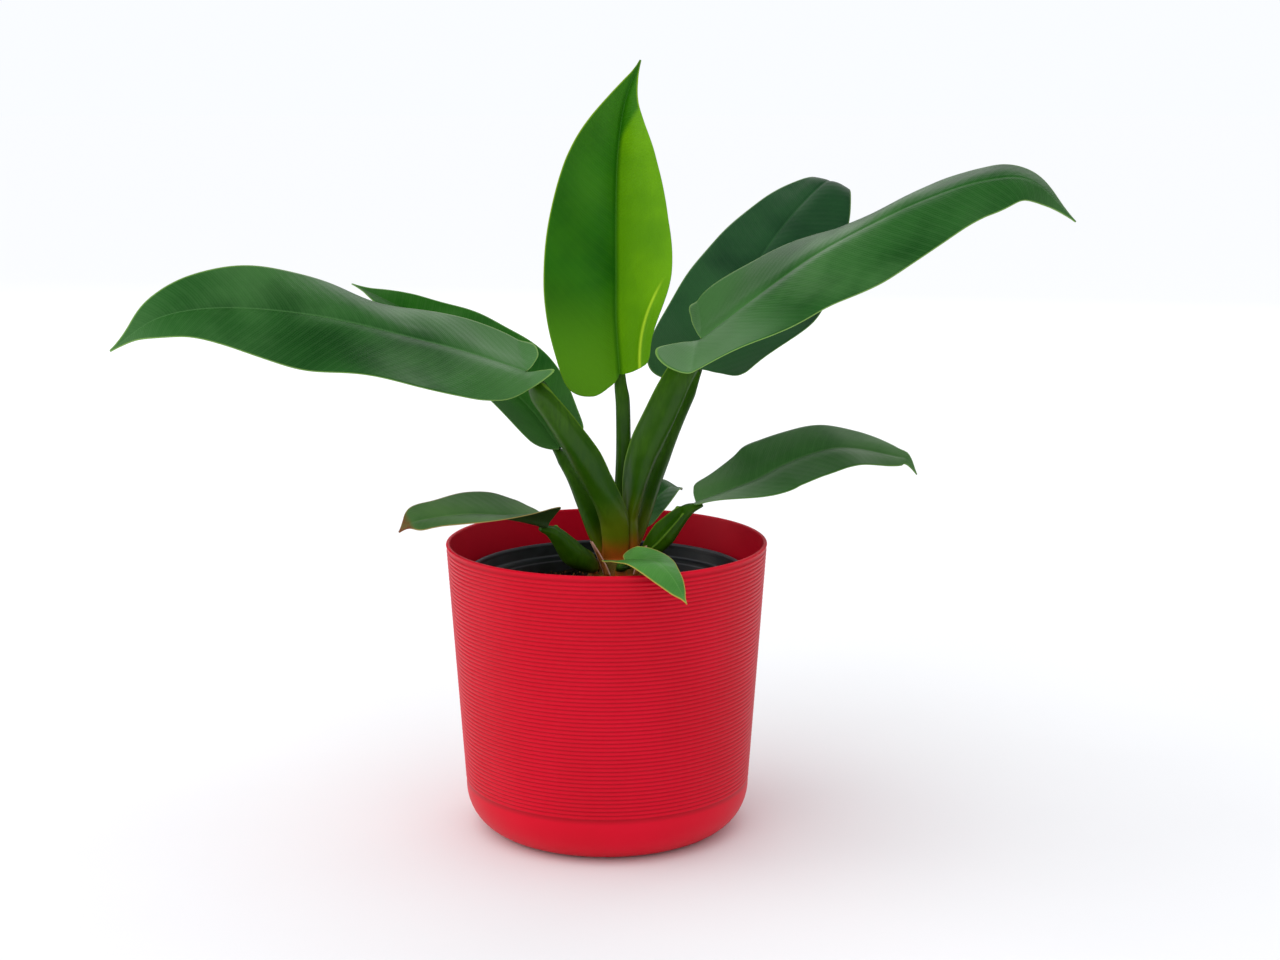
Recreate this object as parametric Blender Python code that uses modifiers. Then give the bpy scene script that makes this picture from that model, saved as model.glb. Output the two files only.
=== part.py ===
"""A young imperial green philodendron in a black grow pot, inside a ribbed red cover pot.

Frame: +Z up, metres, origin at the centre of the cover pot's underside. The plant's front faces -Y.
"""
import math

import bmesh
import bpy
import numpy as np

MM = 0.001
GAP = 0.3 * MM

# Cover pot
POT_HEIGHT = 172.0 * MM
POT_RIM_RADIUS = 94.5 * MM
POT_SHOULDER_RADIUS = 84.6 * MM
POT_BASE_RADIUS = 62.0 * MM
POT_CORNER_HEIGHT = 26.0 * MM
POT_WALL = 2.5 * MM
POT_FLOOR = 3.0 * MM
RIB_BOTTOM = 29.0 * MM
RIB_TOP = 166.0 * MM
RIB_COUNT = 28
RIB_DEPTH = 0.6 * MM

# Grow pot
GROW_TOP = 154.0 * MM
GROW_RIM_RADIUS = 83.0 * MM
GROW_MOUTH_RADIUS = 79.0 * MM
GROW_BASE_RADIUS = 57.0 * MM
GROW_WALL = 1.5 * MM
GROW_LIP = 5.0 * MM
GROW_FLOOR = 2.0 * MM
GROW_STEP_DROP = 9.0 * MM
DRAIN_RADIUS = 4.0 * MM
DRAIN_CIRCLE = 38.0 * MM
DRAIN_COUNT = 8

# Soil and crown
SOIL_TOP = 137.0 * MM
SOIL_BUMP = 1.6 * MM
SOIL_EDGE = 4.0 * MM
CROWN_X = 7.0 * MM
CROWN_Y = -2.0 * MM
CROWN_BOTTOM = 112.0 * MM
CROWN_SHOULDER = 154.0 * MM
CROWN_TOP = 162.0 * MM
CROWN_RADIUS = 18.4 * MM
CROWN_NECK_RADIUS = 12.8 * MM
CROWN_CHAMFER = 0.6 * MM
SCAR_PITCH = 5.2 * MM
SCAR_DEPTH = 1.0 * MM
SCAR_COUNT = 3

AROUND = 40
BLADE_THICK = 0.85 * MM
MIDRIB_THICK = 2.2 * MM
RIB_SAMPLES = 121

# Leaf stalks, in millimetres: clearance under the midrib, length laid along it on both sides of
# its start, straight rise from the crown, and how flat the upper side of a section is. The shares
# say where a stalk has turned to its own face, where it starts turning to the blade's, and
# where its widths and depths are given.
STALK_CLEARANCE = 0.45
STALK_BEFORE_BLADE = 7.0
STALK_UNDER_BLADE = 3.0
STALK_RISE = 4.0
STALK_UPPER = 0.7
STALK_SIDES = 12
TURNED_BY = 0.4
BLADE_TURN = (0.7, 0.95)
STALK_KNOTS = (0, 0.2, 0.5, 0.85, 1.0)

# Half outline of a blade, as shares of its length and half width. Points behind the stalk have
# a negative length, a share of the lobe.
OUTLINE = (
    (-0.2, 0.03), (-0.55, 0.14), (-1.0, 0.42), (-0.6, 0.76), (0.06, 0.93), (0.27, 1.0),
    (0.50, 0.91), (0.72, 0.63), (0.87, 0.33), (0.94, 0.12), (0.975, 0.045), (1.0, 0.012),
)

LOBE_START = -0.3
HEEL_END = 0.1
TIP_START = 0.8

# Each leaf, in millimetres and degrees. The midrib runs from the stalk to the tip. Pairs are for
# the left and the right half, seen from above with the tip ahead. A lobe is how far a half reaches
# behind the stalk, back its direction and lobe_lift its rise. Heel and tip narrow the outline's
# ends, point narrows a lobe, belly shifts the widest place, and lean draws the base towards the
# tip. Fold and curl turn a half up from the midrib, at the base and at the tip, and fade is how
# fast the fold changes between them. A wave is its height, count and phase.
LEAVES = {
    "left_front": dict(
        midrib=[(-46, -25, 276), (-76, -38, 288), (-104, -48, 297), (-154, -62, 311),
                (-204, -72, 317), (-240, -76, 312), (-267, -78, 294)],
        face=[(0, -0.28, 0.96), (0, -0.42, 0.90)], half=(49, 39), lobe=(16, 9), heel=(0.82, 0.9),
        lean=(9, 0), point=(0.55, 1),
        fold=[(-9, -16), (5, 30)], curl=[(-6, -6), (-6, -10)], back=(1, 0.2, -0.15),
        lobe_lift=(11, 4), wave=[(4.5, 2.0, 0.57), (9, 1.2, 0.29)],
        stalk_base=(8.5, -105, 162.3), stalk_face=(0.8, 0.2, 0.6),
        stalk=[(5, -11, 178), (3, -12, 192), (-9, -15, 221), (-23.5, -19, 244), (-36, -22.5, 262)],
        wide=(7.6, 9.4, 10.0, 9.0, 3.0), deep=(3.3, 7.8, 10.6, 7.8, 2.2)),
    "left_back": dict(
        midrib=[(-28, 22, 224), (-46, 45, 244), (-72, 75, 263), (-98, 103, 280),
                (-132, 130, 297), (-165, 150, 310)],
        face=[(0, -0.3, 0.95), (0, -0.3, 0.95)], half=(39, 30), lobe=(7, 5), heel=(0.85, 0.8),
        fold=[(26, 10), (50, 5)], curl=[(10, 0), (0, -10)], back=(0.5, -0.6, -0.2),
        stalk_base=(8.5, 160, 162.3), stalk_face=(0.6, -0.7, 0.4),
        stalk=[(-6, 1, 175), (-11, 4, 189), (-18, 11, 205)],
        wide=(5.5, 6.0, 5.6, 4.6, 2.4), deep=(3.2, 4.2, 4.2, 3.6, 2.0)),
    "centre": dict(
        midrib=[(8, 10, 269), (6, 14, 300), (6, 18, 327), (6, 22, 358), (7, 22, 393),
                (11, 16, 424), (20, 8, 449)],
        face=[(0, -1, 0.1), (0, -1, 0.1)], half=(46, 41), lobe=(12, 3), belly=(1, 0.95),
        heel=(0.92, 0.68), lean=(0, 11), tip=0.7, fold=[(20, 20), (35, 35)], curl=[(10, 10), (10, 10)],
        stalk_base=(6.0, 95, 162.3), stalk_face=(0, -1, 0), untwisted=True,
        stalk=[(8, 7.5, 190), (10, 9.5, 220), (9.8, 11, 250)],
        wide=(3.6, 4.2, 4.4, 4.2, 3.0), deep=(3.6, 4.2, 4.4, 4.0, 2.4)),
    "right_front": dict(
        midrib=[(55, -5, 292), (85, -18, 317), (116, -30, 341), (146, -42, 359), (176, -52, 374),
                (205, -60, 384), (230, -64, 384), (255, -66, 362)],
        face=[(-0.2, -0.35, 0.9), (0, -0.4, 0.9)], half=(47, 54), lobe=(4, 18),
        fold=[(0, -14), (5, -20)], curl=[(-8, -4), (-10, -6)], back=(-1, 0, -0.1),
        lobe_lift=(3, 9), wave=[(9, 1, 0.25), (5, 1, 0.25)],
        stalk_base=(9.5, -27, 162.3), stalk_face=(-0.6, -0.7, 0.4),
        stalk=[(14.5, -4, 178), (14, -2, 190), (19.5, -2, 220), (31.5, -4, 248), (43, -5, 271)],
        wide=(4.4, 8.2, 10.8, 9.6, 4.0), deep=(3.0, 5.0, 8.0, 7.2, 3.0)),
    "right_back": dict(
        midrib=[(54, 45, 268), (71, 75, 292), (89, 105, 317), (109, 135, 342), (129, 160, 362),
                (147, 180, 375), (154, 195, 367), (155, 208, 350)],
        face=[(0, -0.3, 0.95), (0, -0.3, 0.95)], half=(37, 53), lobe=(14, 2), heel=(1, 0.75),
        tip=0.7, fold=[(8, -6), (4, -8)], curl=[(0, 0), (0, -60)],
        back=(-0.3, -0.45, -0.8),
        stalk_base=(9.5, 33, 162.3), stalk_face=(-0.6, -0.7, 0.4),
        stalk=[(20, 8, 179), (27.5, 20, 204), (37, 31, 229)],
        wide=(4.4, 5.2, 6.4, 5.8, 2.6), deep=(3.0, 4.2, 5.4, 5.0, 2.3)),
    "low_right": dict(
        midrib=[(52, -13, 197.5), (84, -10, 209), (101, -6, 217), (117, -2, 223), (134, 2, 226.5),
                (151, 6, 225), (172, 8, 220), (178, 8, 218), (184, 8, 209)],
        face=[(0, -0.25, 0.96), (0, -0.25, 0.96)], half=(31, 30), lobe=(2, 2), heel=(0.7, 0.6),
        lean=(7, 0), fold=[(8, 8), (17, -18)], curl=[(-8, -8), (-8, -8)],
        stalk_base=(15.7, -15, 154.3), stalk_face=(-0.5, -0.6, 0.7),
        stalk=[(25.5, -10, 168), (36, -12, 181)],
        wide=(4.8, 6.6, 8.2, 4.6, 1.7), deep=(2.4, 5.0, 6.8, 3.4, 1.2)),
    "low_left": dict(
        midrib=[(-34, -36, 189), (-43, -42, 193), (-57, -50, 197), (-76, -58, 200),
                (-94, -64, 199.5), (-108, -68, 197), (-115, -70, 192)],
        face=[(0, -0.25, 0.96), (0, -0.3, 0.96)], half=(17, 24), lobe=(1.5, 2), heel=(1.2, 0.9),
        lean=(5, 0), tip=1.7, fold=[(62, -8), (10, 8)], fade=(2.2, 1), curl=[(-8, -8), (-8, -8)],
        stalk_base=(15.7, -160, 154.3), stalk_face=(0.4, -0.3, 0.9),
        stalk=[(-13, -16.5, 163.5), (-19.5, -24, 170)],
        wide=(4.8, 6.6, 7.6, 4.6, 1.8), deep=(2.4, 6.0, 9.0, 3.6, 1.2)),
    "small_front": dict(
        midrib=[(11, -55, 172), (17.5, -66, 175.5), (24, -80, 178.5), (29.5, -93, 178.5),
                (36.5, -103, 172), (43, -112, 161)],
        face=[(0, -0.3, 0.95), (0, -0.5, 0.85)], half=(12.5, 18.5), lobe=(9, 3),
        fold=[(30, -26), (14, -20)], fade=(3, 0.5),
        stalk_base=(15.7, -85, 154.3), stalk_face=(0, 0.2, 1),
        stalk=[(8.5, -25, 161), (8.8, -36, 165.5)],
        wide=(3.8, 3.2, 2.8, 2.4, 1.6), deep=(2.3, 2.3, 2.1, 1.8, 1.3)),
    "small_back": dict(
        midrib=[(20, 30, 176), (26, 36, 184), (33, 44, 191), (40, 52, 194), (47, 62, 190)],
        face=[(0, -0.3, 0.95), (0, -0.3, 0.95)], half=(14, 12), lobe=(3, 3),
        fold=[(8, 8), (15, 8)],
        stalk_base=(15.7, 70, 154.3), stalk_face=(0, 0, 1),
        stalk=[(13, 17, 160), (15.5, 22, 167)],
        wide=(3.8, 3.2, 2.8, 2.4, 1.6), deep=(2.3, 2.3, 2.1, 1.8, 1.3)),
}
LARGE_LEAVES = ("left_front", "left_back", "centre", "right_front", "right_back")

# Dry scale leaves on the crown's shoulder, in millimetres and degrees: compass angle, lean
# outwards and sideways, height.
SCALES = {"scale_left": (-116, 8.0, -6.0, 21.0), "scale_right": (-50, 5.0, 3.0, 17.0)}
SCALE_SEAT_RADIUS = 16.6 * MM
SCALE_FOOT_HALF = 2.4 * MM
SCALE_TIP_HALF = 0.5 * MM
SCALE_THICK = 0.4 * MM
SCALE_CUP = 0.5 * MM
SCALE_RINGS = 6


def material(name, colour, roughness):
    """A plain Principled material in the part's own colour."""
    mat = bpy.data.materials.new(name)
    mat.use_nodes = True
    shader = mat.node_tree.nodes["Principled BSDF"]
    shader.inputs["Base Color"].default_value = (*colour, 1.0)
    shader.inputs["Roughness"].default_value = roughness
    shader.inputs["Metallic"].default_value = 0.0
    mat.diffuse_color = (*colour, 1.0)
    return mat


def unit(vectors):
    vectors = np.asarray(vectors, float)
    return vectors / np.linalg.norm(vectors, axis=-1, keepdims=True)


def smooth_curve(points, count):
    """Evenly spaced points on a smooth curve through the given ones, and its length."""
    p = np.array(points, float)
    p = np.vstack([2 * p[0] - p[1], p, 2 * p[-1] - p[-2]])
    t = np.linspace(0, 1, 24, endpoint=False)[:, None]
    runs = []
    for a, b, c, d in zip(p, p[1:], p[2:], p[3:]):
        bend = t ** 2 * (a - 2.5 * b + 2 * c - 0.5 * d)
        twist = t ** 3 * (1.5 * (b - c) + 0.5 * (d - a))
        runs.append(b + 0.5 * t * (c - a) + bend + twist)
    dense = np.vstack(runs + [p[-2:-1]])
    step = np.linalg.norm(np.diff(dense, axis=0), axis=1)
    run = np.concatenate([[0.0], np.cumsum(step)])
    at = np.linspace(0, run[-1], count)
    even = [np.interp(at, run, dense[:, k]) for k in range(p.shape[1])]
    return np.column_stack(even), run[-1]


def square_frames(path, faces):
    """Tangent, upward normal and left-hand side along a path."""
    along = unit(np.gradient(path, axis=0))
    normal = faces - (faces * along).sum(1, keepdims=True) * along
    normal = unit(normal)
    return along, normal, np.cross(normal, along)


def margin(leaf, k, length, count):
    """The edge of one half of a flat blade: distance along the midrib and out from it."""
    half, lobe = leaf["half"][k], leaf["lobe"][k]
    belly = leaf.get("belly", (1, 1))[k]
    heel = leaf.get("heel", (1, 1))[k]
    lean = leaf.get("lean", (0, 0))[k]
    point = leaf.get("point", (1, 1))[k]
    tip = leaf.get("tip", 1.0)
    points = []
    for along, out in OUTLINE:
        reach = along * lobe if along < 0 else length * along ** belly
        reach += lean * out * (1 - max(along, 0)) ** 3
        narrow = heel if along < HEEL_END else tip if along > TIP_START else 1.0
        narrow *= point if along < LOBE_START else 1.0
        points.append((reach, half * out * narrow))
    return smooth_curve(points, count)[0]


def leaf_surface(leaf, rows, columns):
    """Upper surface of a blade as an array of points, rows along it and columns right to left."""
    rib, length = smooth_curve(leaf["midrib"], RIB_SAMPLES)
    mix = np.linspace(0, 1, len(rib))[:, None]
    faces = unit(leaf["face"][0]) * (1 - mix) + unit(leaf["face"][1]) * mix
    along, normal, side = square_frames(rib, faces)
    place = np.linspace(0, length, len(rib))
    backward = -unit(leaf["back"]) if "back" in leaf else along[0]
    halves = []
    for k, sign in ((0, 1.0), (1, -1.0)):
        half = leaf["half"][k]
        edge = margin(leaf, k, length, rows + 1)
        root = length * np.linspace(0, 1, rows + 1) ** 1.5
        share = (np.linspace(0, 1, columns + 1) ** 1.2)[None, :]
        a = root[:, None] + (edge[:, :1] - root[:, None]) * share ** 1.3
        w = edge[:, 1:] * share
        on_rib = np.clip(a, 0, length)

        def at(values):
            return np.stack([np.interp(on_rib, place, values[:, i]) for i in range(3)], -1)

        fold_base, fold_tip = leaf["fold"][k]
        curl_base, curl_tip = leaf.get("curl", [(0, 0), (0, 0)])[k]
        fade = leaf.get("fade", (1, 1))[k]
        fold = np.radians(fold_tip + (fold_base - fold_tip) * (1 - on_rib / length) ** fade)
        curl = np.radians(curl_base + (curl_tip - curl_base) * on_rib / length) / half
        curl = np.where(np.abs(curl) < 1e-6, 1e-6, curl)
        out = (np.sin(fold + curl * w) - np.sin(fold)) / curl
        lift = (np.cos(fold) - np.cos(fold + curl * w)) / curl
        height, count, phase = leaf.get("wave", [(0, 0, 0), (0, 0, 0)])[k]
        lift += height * (w / half) ** 2 * np.sin(2 * math.pi * (count * a / length + phase))
        behind = np.clip(-a, 0, None) / leaf["lobe"][k]
        lift += leaf.get("lobe_lift", (0, 0))[k] * behind ** 1.6
        points = at(rib) + backward * (a - on_rib)[..., None]
        points = points + unit(at(side)) * (sign * out)[..., None]
        points = points + unit(at(normal)) * lift[..., None]
        halves.append(points)
    left, right = halves
    return np.concatenate([right[:, :0:-1], left], axis=1)


def stalk_rings(leaf, rings, sides):
    """Rings of a leaf stalk, from its seat on the crown to under the midrib."""
    radius, degrees, level = leaf["stalk_base"]
    angle = math.radians(degrees)
    x = CROWN_X / MM + radius * math.cos(angle)
    y = CROWN_Y / MM + radius * math.sin(angle)
    rib = smooth_curve(leaf["midrib"], RIB_SAMPLES)[0]
    joint_way = unit(rib[2] - rib[0])
    joint_up = unit(leaf["face"][0])
    joint_up = unit(joint_up - (joint_up @ joint_way) * joint_way)
    drop = MIDRIB_THICK / MM + STALK_CLEARANCE + STALK_UPPER * leaf["deep"][-1]
    seat = rib[0] - joint_up * drop
    foot = [(x, y, level), (x, y, level + STALK_RISE)]
    end = [seat - joint_way * STALK_BEFORE_BLADE, seat + joint_way * STALK_UNDER_BLADE]
    path = smooth_curve(foot + leaf["stalk"] + end, rings)[0]
    share = np.linspace(0, 1, rings)
    own_face = unit(leaf["stalk_face"])
    inward = np.array([-math.cos(angle), -math.sin(angle), 0.0])
    if leaf.get("untwisted"):
        inward = own_face
    low = np.clip(share / TURNED_BY, 0, 1)[:, None]
    turn_start, turn_end = BLADE_TURN
    high = np.clip((share - turn_start) / (turn_end - turn_start), 0, 1)[:, None]
    faces = inward * (1 - low) + own_face * low
    faces = faces * (1 - high) + joint_up * high
    along = unit(np.gradient(path, axis=0))
    along[0] = (0, 0, 1)
    normal = unit(faces - (faces * along).sum(1, keepdims=True) * along)
    side = np.cross(normal, along)
    wide = np.interp(share, STALK_KNOTS, leaf["wide"])
    deep = np.interp(share, STALK_KNOTS, leaf["deep"])
    turn = 2 * math.pi * np.arange(sides) / sides
    across = np.cos(turn)
    up = np.where(np.sin(turn) > 0, STALK_UPPER, 1.0) * np.sin(turn)
    ring = side[:, None] * (wide[:, None] * across)[..., None]
    ring = ring + normal[:, None] * (deep[:, None] * up)[..., None]
    return (path[:, None] + ring) * MM


def add_object(name, mesh, mat, collection):
    mesh.materials.append(mat)
    obj = bpy.data.objects.new(name, mesh)
    collection.objects.link(obj)
    return obj


def smooth_shading(obj, degrees=40):
    obj.data.shade_smooth()
    obj.data.set_sharp_from_angle(angle=math.radians(degrees))


def loft(name, rings, mat, collection):
    """A closed solid through rings of points, each ring counter-clockwise seen from its end."""
    bm = bmesh.new()
    loops = [[bm.verts.new(p) for p in ring] for ring in rings]
    for low, high in zip(loops, loops[1:]):
        for k in range(len(low)):
            n = (k + 1) % len(low)
            bm.faces.new((low[k], low[n], high[n], high[k]))
    bm.faces.new(loops[0][::-1])
    bm.faces.new(loops[-1])
    bmesh.ops.recalc_face_normals(bm, faces=bm.faces)
    mesh = bpy.data.meshes.new(name)
    bm.to_mesh(mesh)
    bm.free()
    obj = add_object(name, mesh, mat, collection)
    smooth_shading(obj)
    return obj


def turned(name, profile, mat, collection, steps=AROUND):
    """A turned solid from (radius, height) points that run up the inside and down the outside."""
    mesh = bpy.data.meshes.new(name)
    verts = [(r, 0.0, z) for r, z in profile]
    edges = [(k, k + 1) for k in range(len(profile) - 1)]
    mesh.from_pydata(verts, edges, [])
    obj = add_object(name, mesh, mat, collection)
    screw = obj.modifiers.new("turn", "SCREW")
    screw.axis = "Z"
    screw.steps = steps
    screw.render_steps = steps
    screw.use_merge_vertices = True
    screw.merge_threshold = 0.00005
    return obj


def blade(name, leaf, rows, columns, mat, collection):
    """A thin leaf blade with a thicker midrib below."""
    surface = leaf_surface(leaf, rows, columns) * MM
    across = surface.shape[1]
    bm = bmesh.new()
    bmesh.ops.create_grid(bm, x_segments=rows, y_segments=across - 1, size=1.0)
    bm.verts.ensure_lookup_table()
    mesh = bpy.data.meshes.new(name)
    middle = []
    for vert in bm.verts:
        i = round((vert.co.x + 1) / 2 * rows)
        j = round((vert.co.y + 1) / 2 * (across - 1))
        if j == columns:
            middle.append(vert.index)
        vert.co = surface[i, j]
    bm.to_mesh(mesh)
    bm.free()
    obj = add_object(name, mesh, mat, collection)
    group = obj.vertex_groups.new(name="midrib")
    group.add(middle, 1.0, "REPLACE")
    obj.modifiers.new("triangles", "TRIANGULATE")
    skin = obj.modifiers.new("thickness", "SOLIDIFY")
    skin.thickness = MIDRIB_THICK
    skin.offset = -1.0
    skin.vertex_group = "midrib"
    skin.thickness_vertex_group = BLADE_THICK / MIDRIB_THICK
    obj.data.shade_smooth()
    return obj


def pot_outer_radius(height):
    share = (height - POT_CORNER_HEIGHT) / (POT_HEIGHT - POT_CORNER_HEIGHT)
    return POT_SHOULDER_RADIUS + (POT_RIM_RADIUS - POT_SHOULDER_RADIUS) * share


def corner(base, shoulder, bottom, top, count):
    """A quarter-ellipse corner from the base's edge up to the wall."""
    points = []
    for k in range(count + 1):
        turn = math.radians(90 * k / count)
        radius = base + (shoulder - base) * math.sin(turn)
        points.append((radius, bottom + (top - bottom) * (1 - math.cos(turn))))
    return points


def cover_pot(mat, collection):
    """The red pot: ribbed wall, plain rim band and a rounded plain foot."""
    inside = corner(POT_BASE_RADIUS - POT_WALL / 2, POT_SHOULDER_RADIUS - POT_WALL, POT_FLOOR,
                    POT_CORNER_HEIGHT, 5)
    inner_rim = POT_RIM_RADIUS - POT_WALL
    lip = 0.8 * MM
    profile = [(0.0, POT_FLOOR)] + inside
    profile.append((inner_rim, POT_HEIGHT - lip))
    profile.append((inner_rim + lip, POT_HEIGHT))
    profile.append((POT_RIM_RADIUS - lip, POT_HEIGHT))
    profile.append((POT_RIM_RADIUS, POT_HEIGHT - lip))
    pitch = (RIB_TOP - RIB_BOTTOM) / RIB_COUNT
    for k in range(2 * RIB_COUNT + 1):
        height = RIB_TOP - k * pitch / 2
        sunk = RIB_DEPTH if k % 2 == 0 else 0.0
        profile.append((pot_outer_radius(height) - sunk, height))
    profile += corner(POT_BASE_RADIUS, POT_SHOULDER_RADIUS, 0.0, POT_CORNER_HEIGHT, 6)[::-1]
    profile.append((0.0, 0.0))
    return turned("outer_pot", profile, mat, collection)


def grow_pot_radius(height):
    """Outer radius of the grow pot's wall."""
    low = POT_FLOOR + GAP
    share = (height - low) / (GROW_TOP - low)
    return GROW_BASE_RADIUS + (GROW_MOUTH_RADIUS - GROW_BASE_RADIUS) * share


def grow_pot(mat, collection, cutters):
    """The thin black pot with a stepped lip, standing on the cover pot's floor."""
    low = POT_FLOOR + GAP
    step = GROW_TOP - GROW_STEP_DROP
    profile = [
        (0.0, low + GROW_FLOOR),
        (GROW_BASE_RADIUS - GROW_WALL, low + GROW_FLOOR),
        (grow_pot_radius(step) - GROW_WALL, step),
        (grow_pot_radius(step) + 1.2 * MM, step + 1 * MM),
        (GROW_RIM_RADIUS - 2.6 * MM, GROW_TOP - 3 * MM),
        (GROW_RIM_RADIUS - 2.2 * MM, GROW_TOP),
        (GROW_RIM_RADIUS - 0.3 * MM, GROW_TOP),
        (GROW_RIM_RADIUS, GROW_TOP - 0.6 * MM),
        (GROW_RIM_RADIUS, GROW_TOP - GROW_LIP),
        (GROW_RIM_RADIUS - 1.5 * MM, GROW_TOP - GROW_LIP),
        (grow_pot_radius(step) + 2.4 * MM, step - 1 * MM),
        (grow_pot_radius(step - 3 * MM), step - 3 * MM),
        (GROW_BASE_RADIUS, low + 1 * MM),
        (GROW_BASE_RADIUS - 1 * MM, low),
        (0.0, low),
    ]
    obj = turned("nursery_pot", profile, mat, collection)
    for k in range(DRAIN_COUNT):
        turn = 2 * math.pi * (k + 0.5) / DRAIN_COUNT
        bm = bmesh.new()
        bmesh.ops.create_cone(bm, cap_ends=True, segments=12, radius1=DRAIN_RADIUS,
                              radius2=DRAIN_RADIUS, depth=4 * GROW_FLOOR)
        mesh = bpy.data.meshes.new("drain_hole")
        bm.to_mesh(mesh)
        bm.free()
        hole = bpy.data.objects.new("drain_hole", mesh)
        hole.location = (DRAIN_CIRCLE * math.cos(turn), DRAIN_CIRCLE * math.sin(turn), low)
        hole.hide_render = True
        hole.display_type = "WIRE"
        cutters.objects.link(hole)
        cut = obj.modifiers.new("drain", "BOOLEAN")
        cut.operation = "DIFFERENCE"
        cut.object = hole
    return obj


def soil_height(x, y):
    """Uneven soil surface."""
    waves = (math.sin(95 * x + 1.3) * math.cos(110 * y - 0.4)
             + 0.6 * math.sin(230 * x - 190 * y + 2.0)
             + 0.4 * math.cos(310 * y + 160 * x))
    return SOIL_TOP + SOIL_BUMP * waves / 2


def soil(mat, collection):
    """A plug of soil that fills the grow pot, with a plain hole for the crown."""
    low = POT_FLOOR + GAP + GROW_FLOOR + GAP
    hole = CROWN_RADIUS + GAP
    clear = GROW_WALL + 1.2 * GAP
    rings = []

    def ring(radius, height, centre_share, bumpy):
        points = []
        for k in range(AROUND):
            turn = 2 * math.pi * k / AROUND
            x = CROWN_X * centre_share + radius * math.cos(turn)
            y = CROWN_Y * centre_share + radius * math.sin(turn)
            points.append((x, y, soil_height(x, y) if bumpy else height))
        rings.append(points)

    ring(hole * 0.5, CROWN_BOTTOM - GAP, 1.0, False)
    ring(hole, CROWN_BOTTOM - GAP, 1.0, False)
    ring(hole, SOIL_TOP, 1.0, True)
    wall = grow_pot_radius(SOIL_TOP) - clear
    for share in (0.25, 0.5, 0.75):
        ring(hole + (wall - hole) * share, 0.0, 1.0 - share, True)
    ring(wall - GAP, 0.0, 0.0, True)
    edge = SOIL_TOP - SOIL_EDGE
    ring(grow_pot_radius(edge) - clear, edge, 0.0, False)
    ring(GROW_BASE_RADIUS - clear, low, 0.0, False)
    return loft("soil", rings[::-1], mat, collection)


def crown(mat, collection):
    """The short thick stem, with rings left by old leaves, and a step that carries low stalks."""
    profile = [(0.0, CROWN_TOP), (CROWN_NECK_RADIUS - CROWN_CHAMFER, CROWN_TOP)]
    profile.append((CROWN_NECK_RADIUS, CROWN_TOP - CROWN_CHAMFER))
    profile.append((CROWN_NECK_RADIUS, CROWN_SHOULDER))
    profile.append((CROWN_RADIUS - CROWN_CHAMFER, CROWN_SHOULDER))
    profile.append((CROWN_RADIUS, CROWN_SHOULDER - CROWN_CHAMFER))
    for k in range(SCAR_COUNT):
        middle = CROWN_SHOULDER - SCAR_PITCH * (k + 0.5)
        profile.append((CROWN_RADIUS - SCAR_DEPTH, middle))
        profile.append((CROWN_RADIUS, middle - SCAR_PITCH / 2))
    profile.append((CROWN_RADIUS - 2 * SCAR_DEPTH, CROWN_BOTTOM))
    profile.append((0.0, CROWN_BOTTOM))
    obj = turned("crown", profile, mat, collection, 28)
    obj.location = (CROWN_X, CROWN_Y, 0.0)
    return obj


def scale_leaf(name, place, mat, collection):
    """A thin dry scale that stands on the crown's shoulder."""
    degrees = place[0]
    outward, sideways, height = (size * MM for size in place[1:])
    angle = math.radians(degrees)
    radial = np.array([math.cos(angle), math.sin(angle), 0.0])
    tangent = np.array([-math.sin(angle), math.cos(angle), 0.0])
    foot = np.array([CROWN_X, CROWN_Y, CROWN_SHOULDER + GAP]) + radial * SCALE_SEAT_RADIUS
    rings = []
    for k in range(SCALE_RINGS):
        share = k / (SCALE_RINGS - 1)
        rise = np.array([0.0, 0.0, height * share])
        middle = foot + rise + radial * outward * share ** 1.5 + tangent * sideways * share
        half = SCALE_FOOT_HALF + (SCALE_TIP_HALF - SCALE_FOOT_HALF) * share
        rings.append([
            middle + tangent * half - radial * SCALE_CUP,
            middle + radial * SCALE_THICK,
            middle - tangent * half - radial * SCALE_CUP,
            middle - radial * SCALE_THICK,
        ])
    return loft(name, rings, mat, collection)


def build():
    for obj in list(bpy.data.objects):
        bpy.data.objects.remove(obj, do_unlink=True)
    parts = bpy.data.collections.new("potted_philodendron")
    cutters = bpy.data.collections.new("cutters")
    bpy.context.scene.collection.children.link(parts)
    bpy.context.scene.collection.children.link(cutters)
    red = material("red_plastic", (0.62, 0.012, 0.035), 0.4)
    black = material("black_plastic", (0.02, 0.022, 0.03), 0.5)
    earth = material("soil", (0.035, 0.025, 0.018), 0.95)
    bark = material("crown_skin", (0.33, 0.16, 0.04), 0.6)
    green = material("leaf_green", (0.03, 0.16, 0.03), 0.35)
    young = material("young_leaf_green", (0.16, 0.42, 0.02), 0.35)
    stalk_green = material("stalk_green", (0.06, 0.16, 0.02), 0.4)
    dry = material("dry_scale", (0.5, 0.28, 0.16), 0.7)
    cover_pot(red, parts)
    grow_pot(black, parts, cutters)
    soil(earth, parts)
    crown(bark, parts)
    for name, leaf in LEAVES.items():
        large = name in LARGE_LEAVES
        rows, columns = (20, 4) if large else (14, 3)
        blade("leaf_" + name, leaf, rows, columns, young if name == "centre" else green, parts)
        rings = 14 if large else 10
        loft("stalk_" + name, stalk_rings(leaf, rings, STALK_SIDES), stalk_green, parts)
    for name, place in SCALES.items():
        scale_leaf(name, place, dry, parts)


build()
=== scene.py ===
"""Looks of a young imperial green philodendron: leaves, stalks, crown, soil and its two pots.

Shapes are worked out in millimetres and turned to metres where a mesh is made. +Z is up, the
origin is the centre of the cover pot's underside, and the plant's front faces -Y.
"""

import itertools
import math

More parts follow.
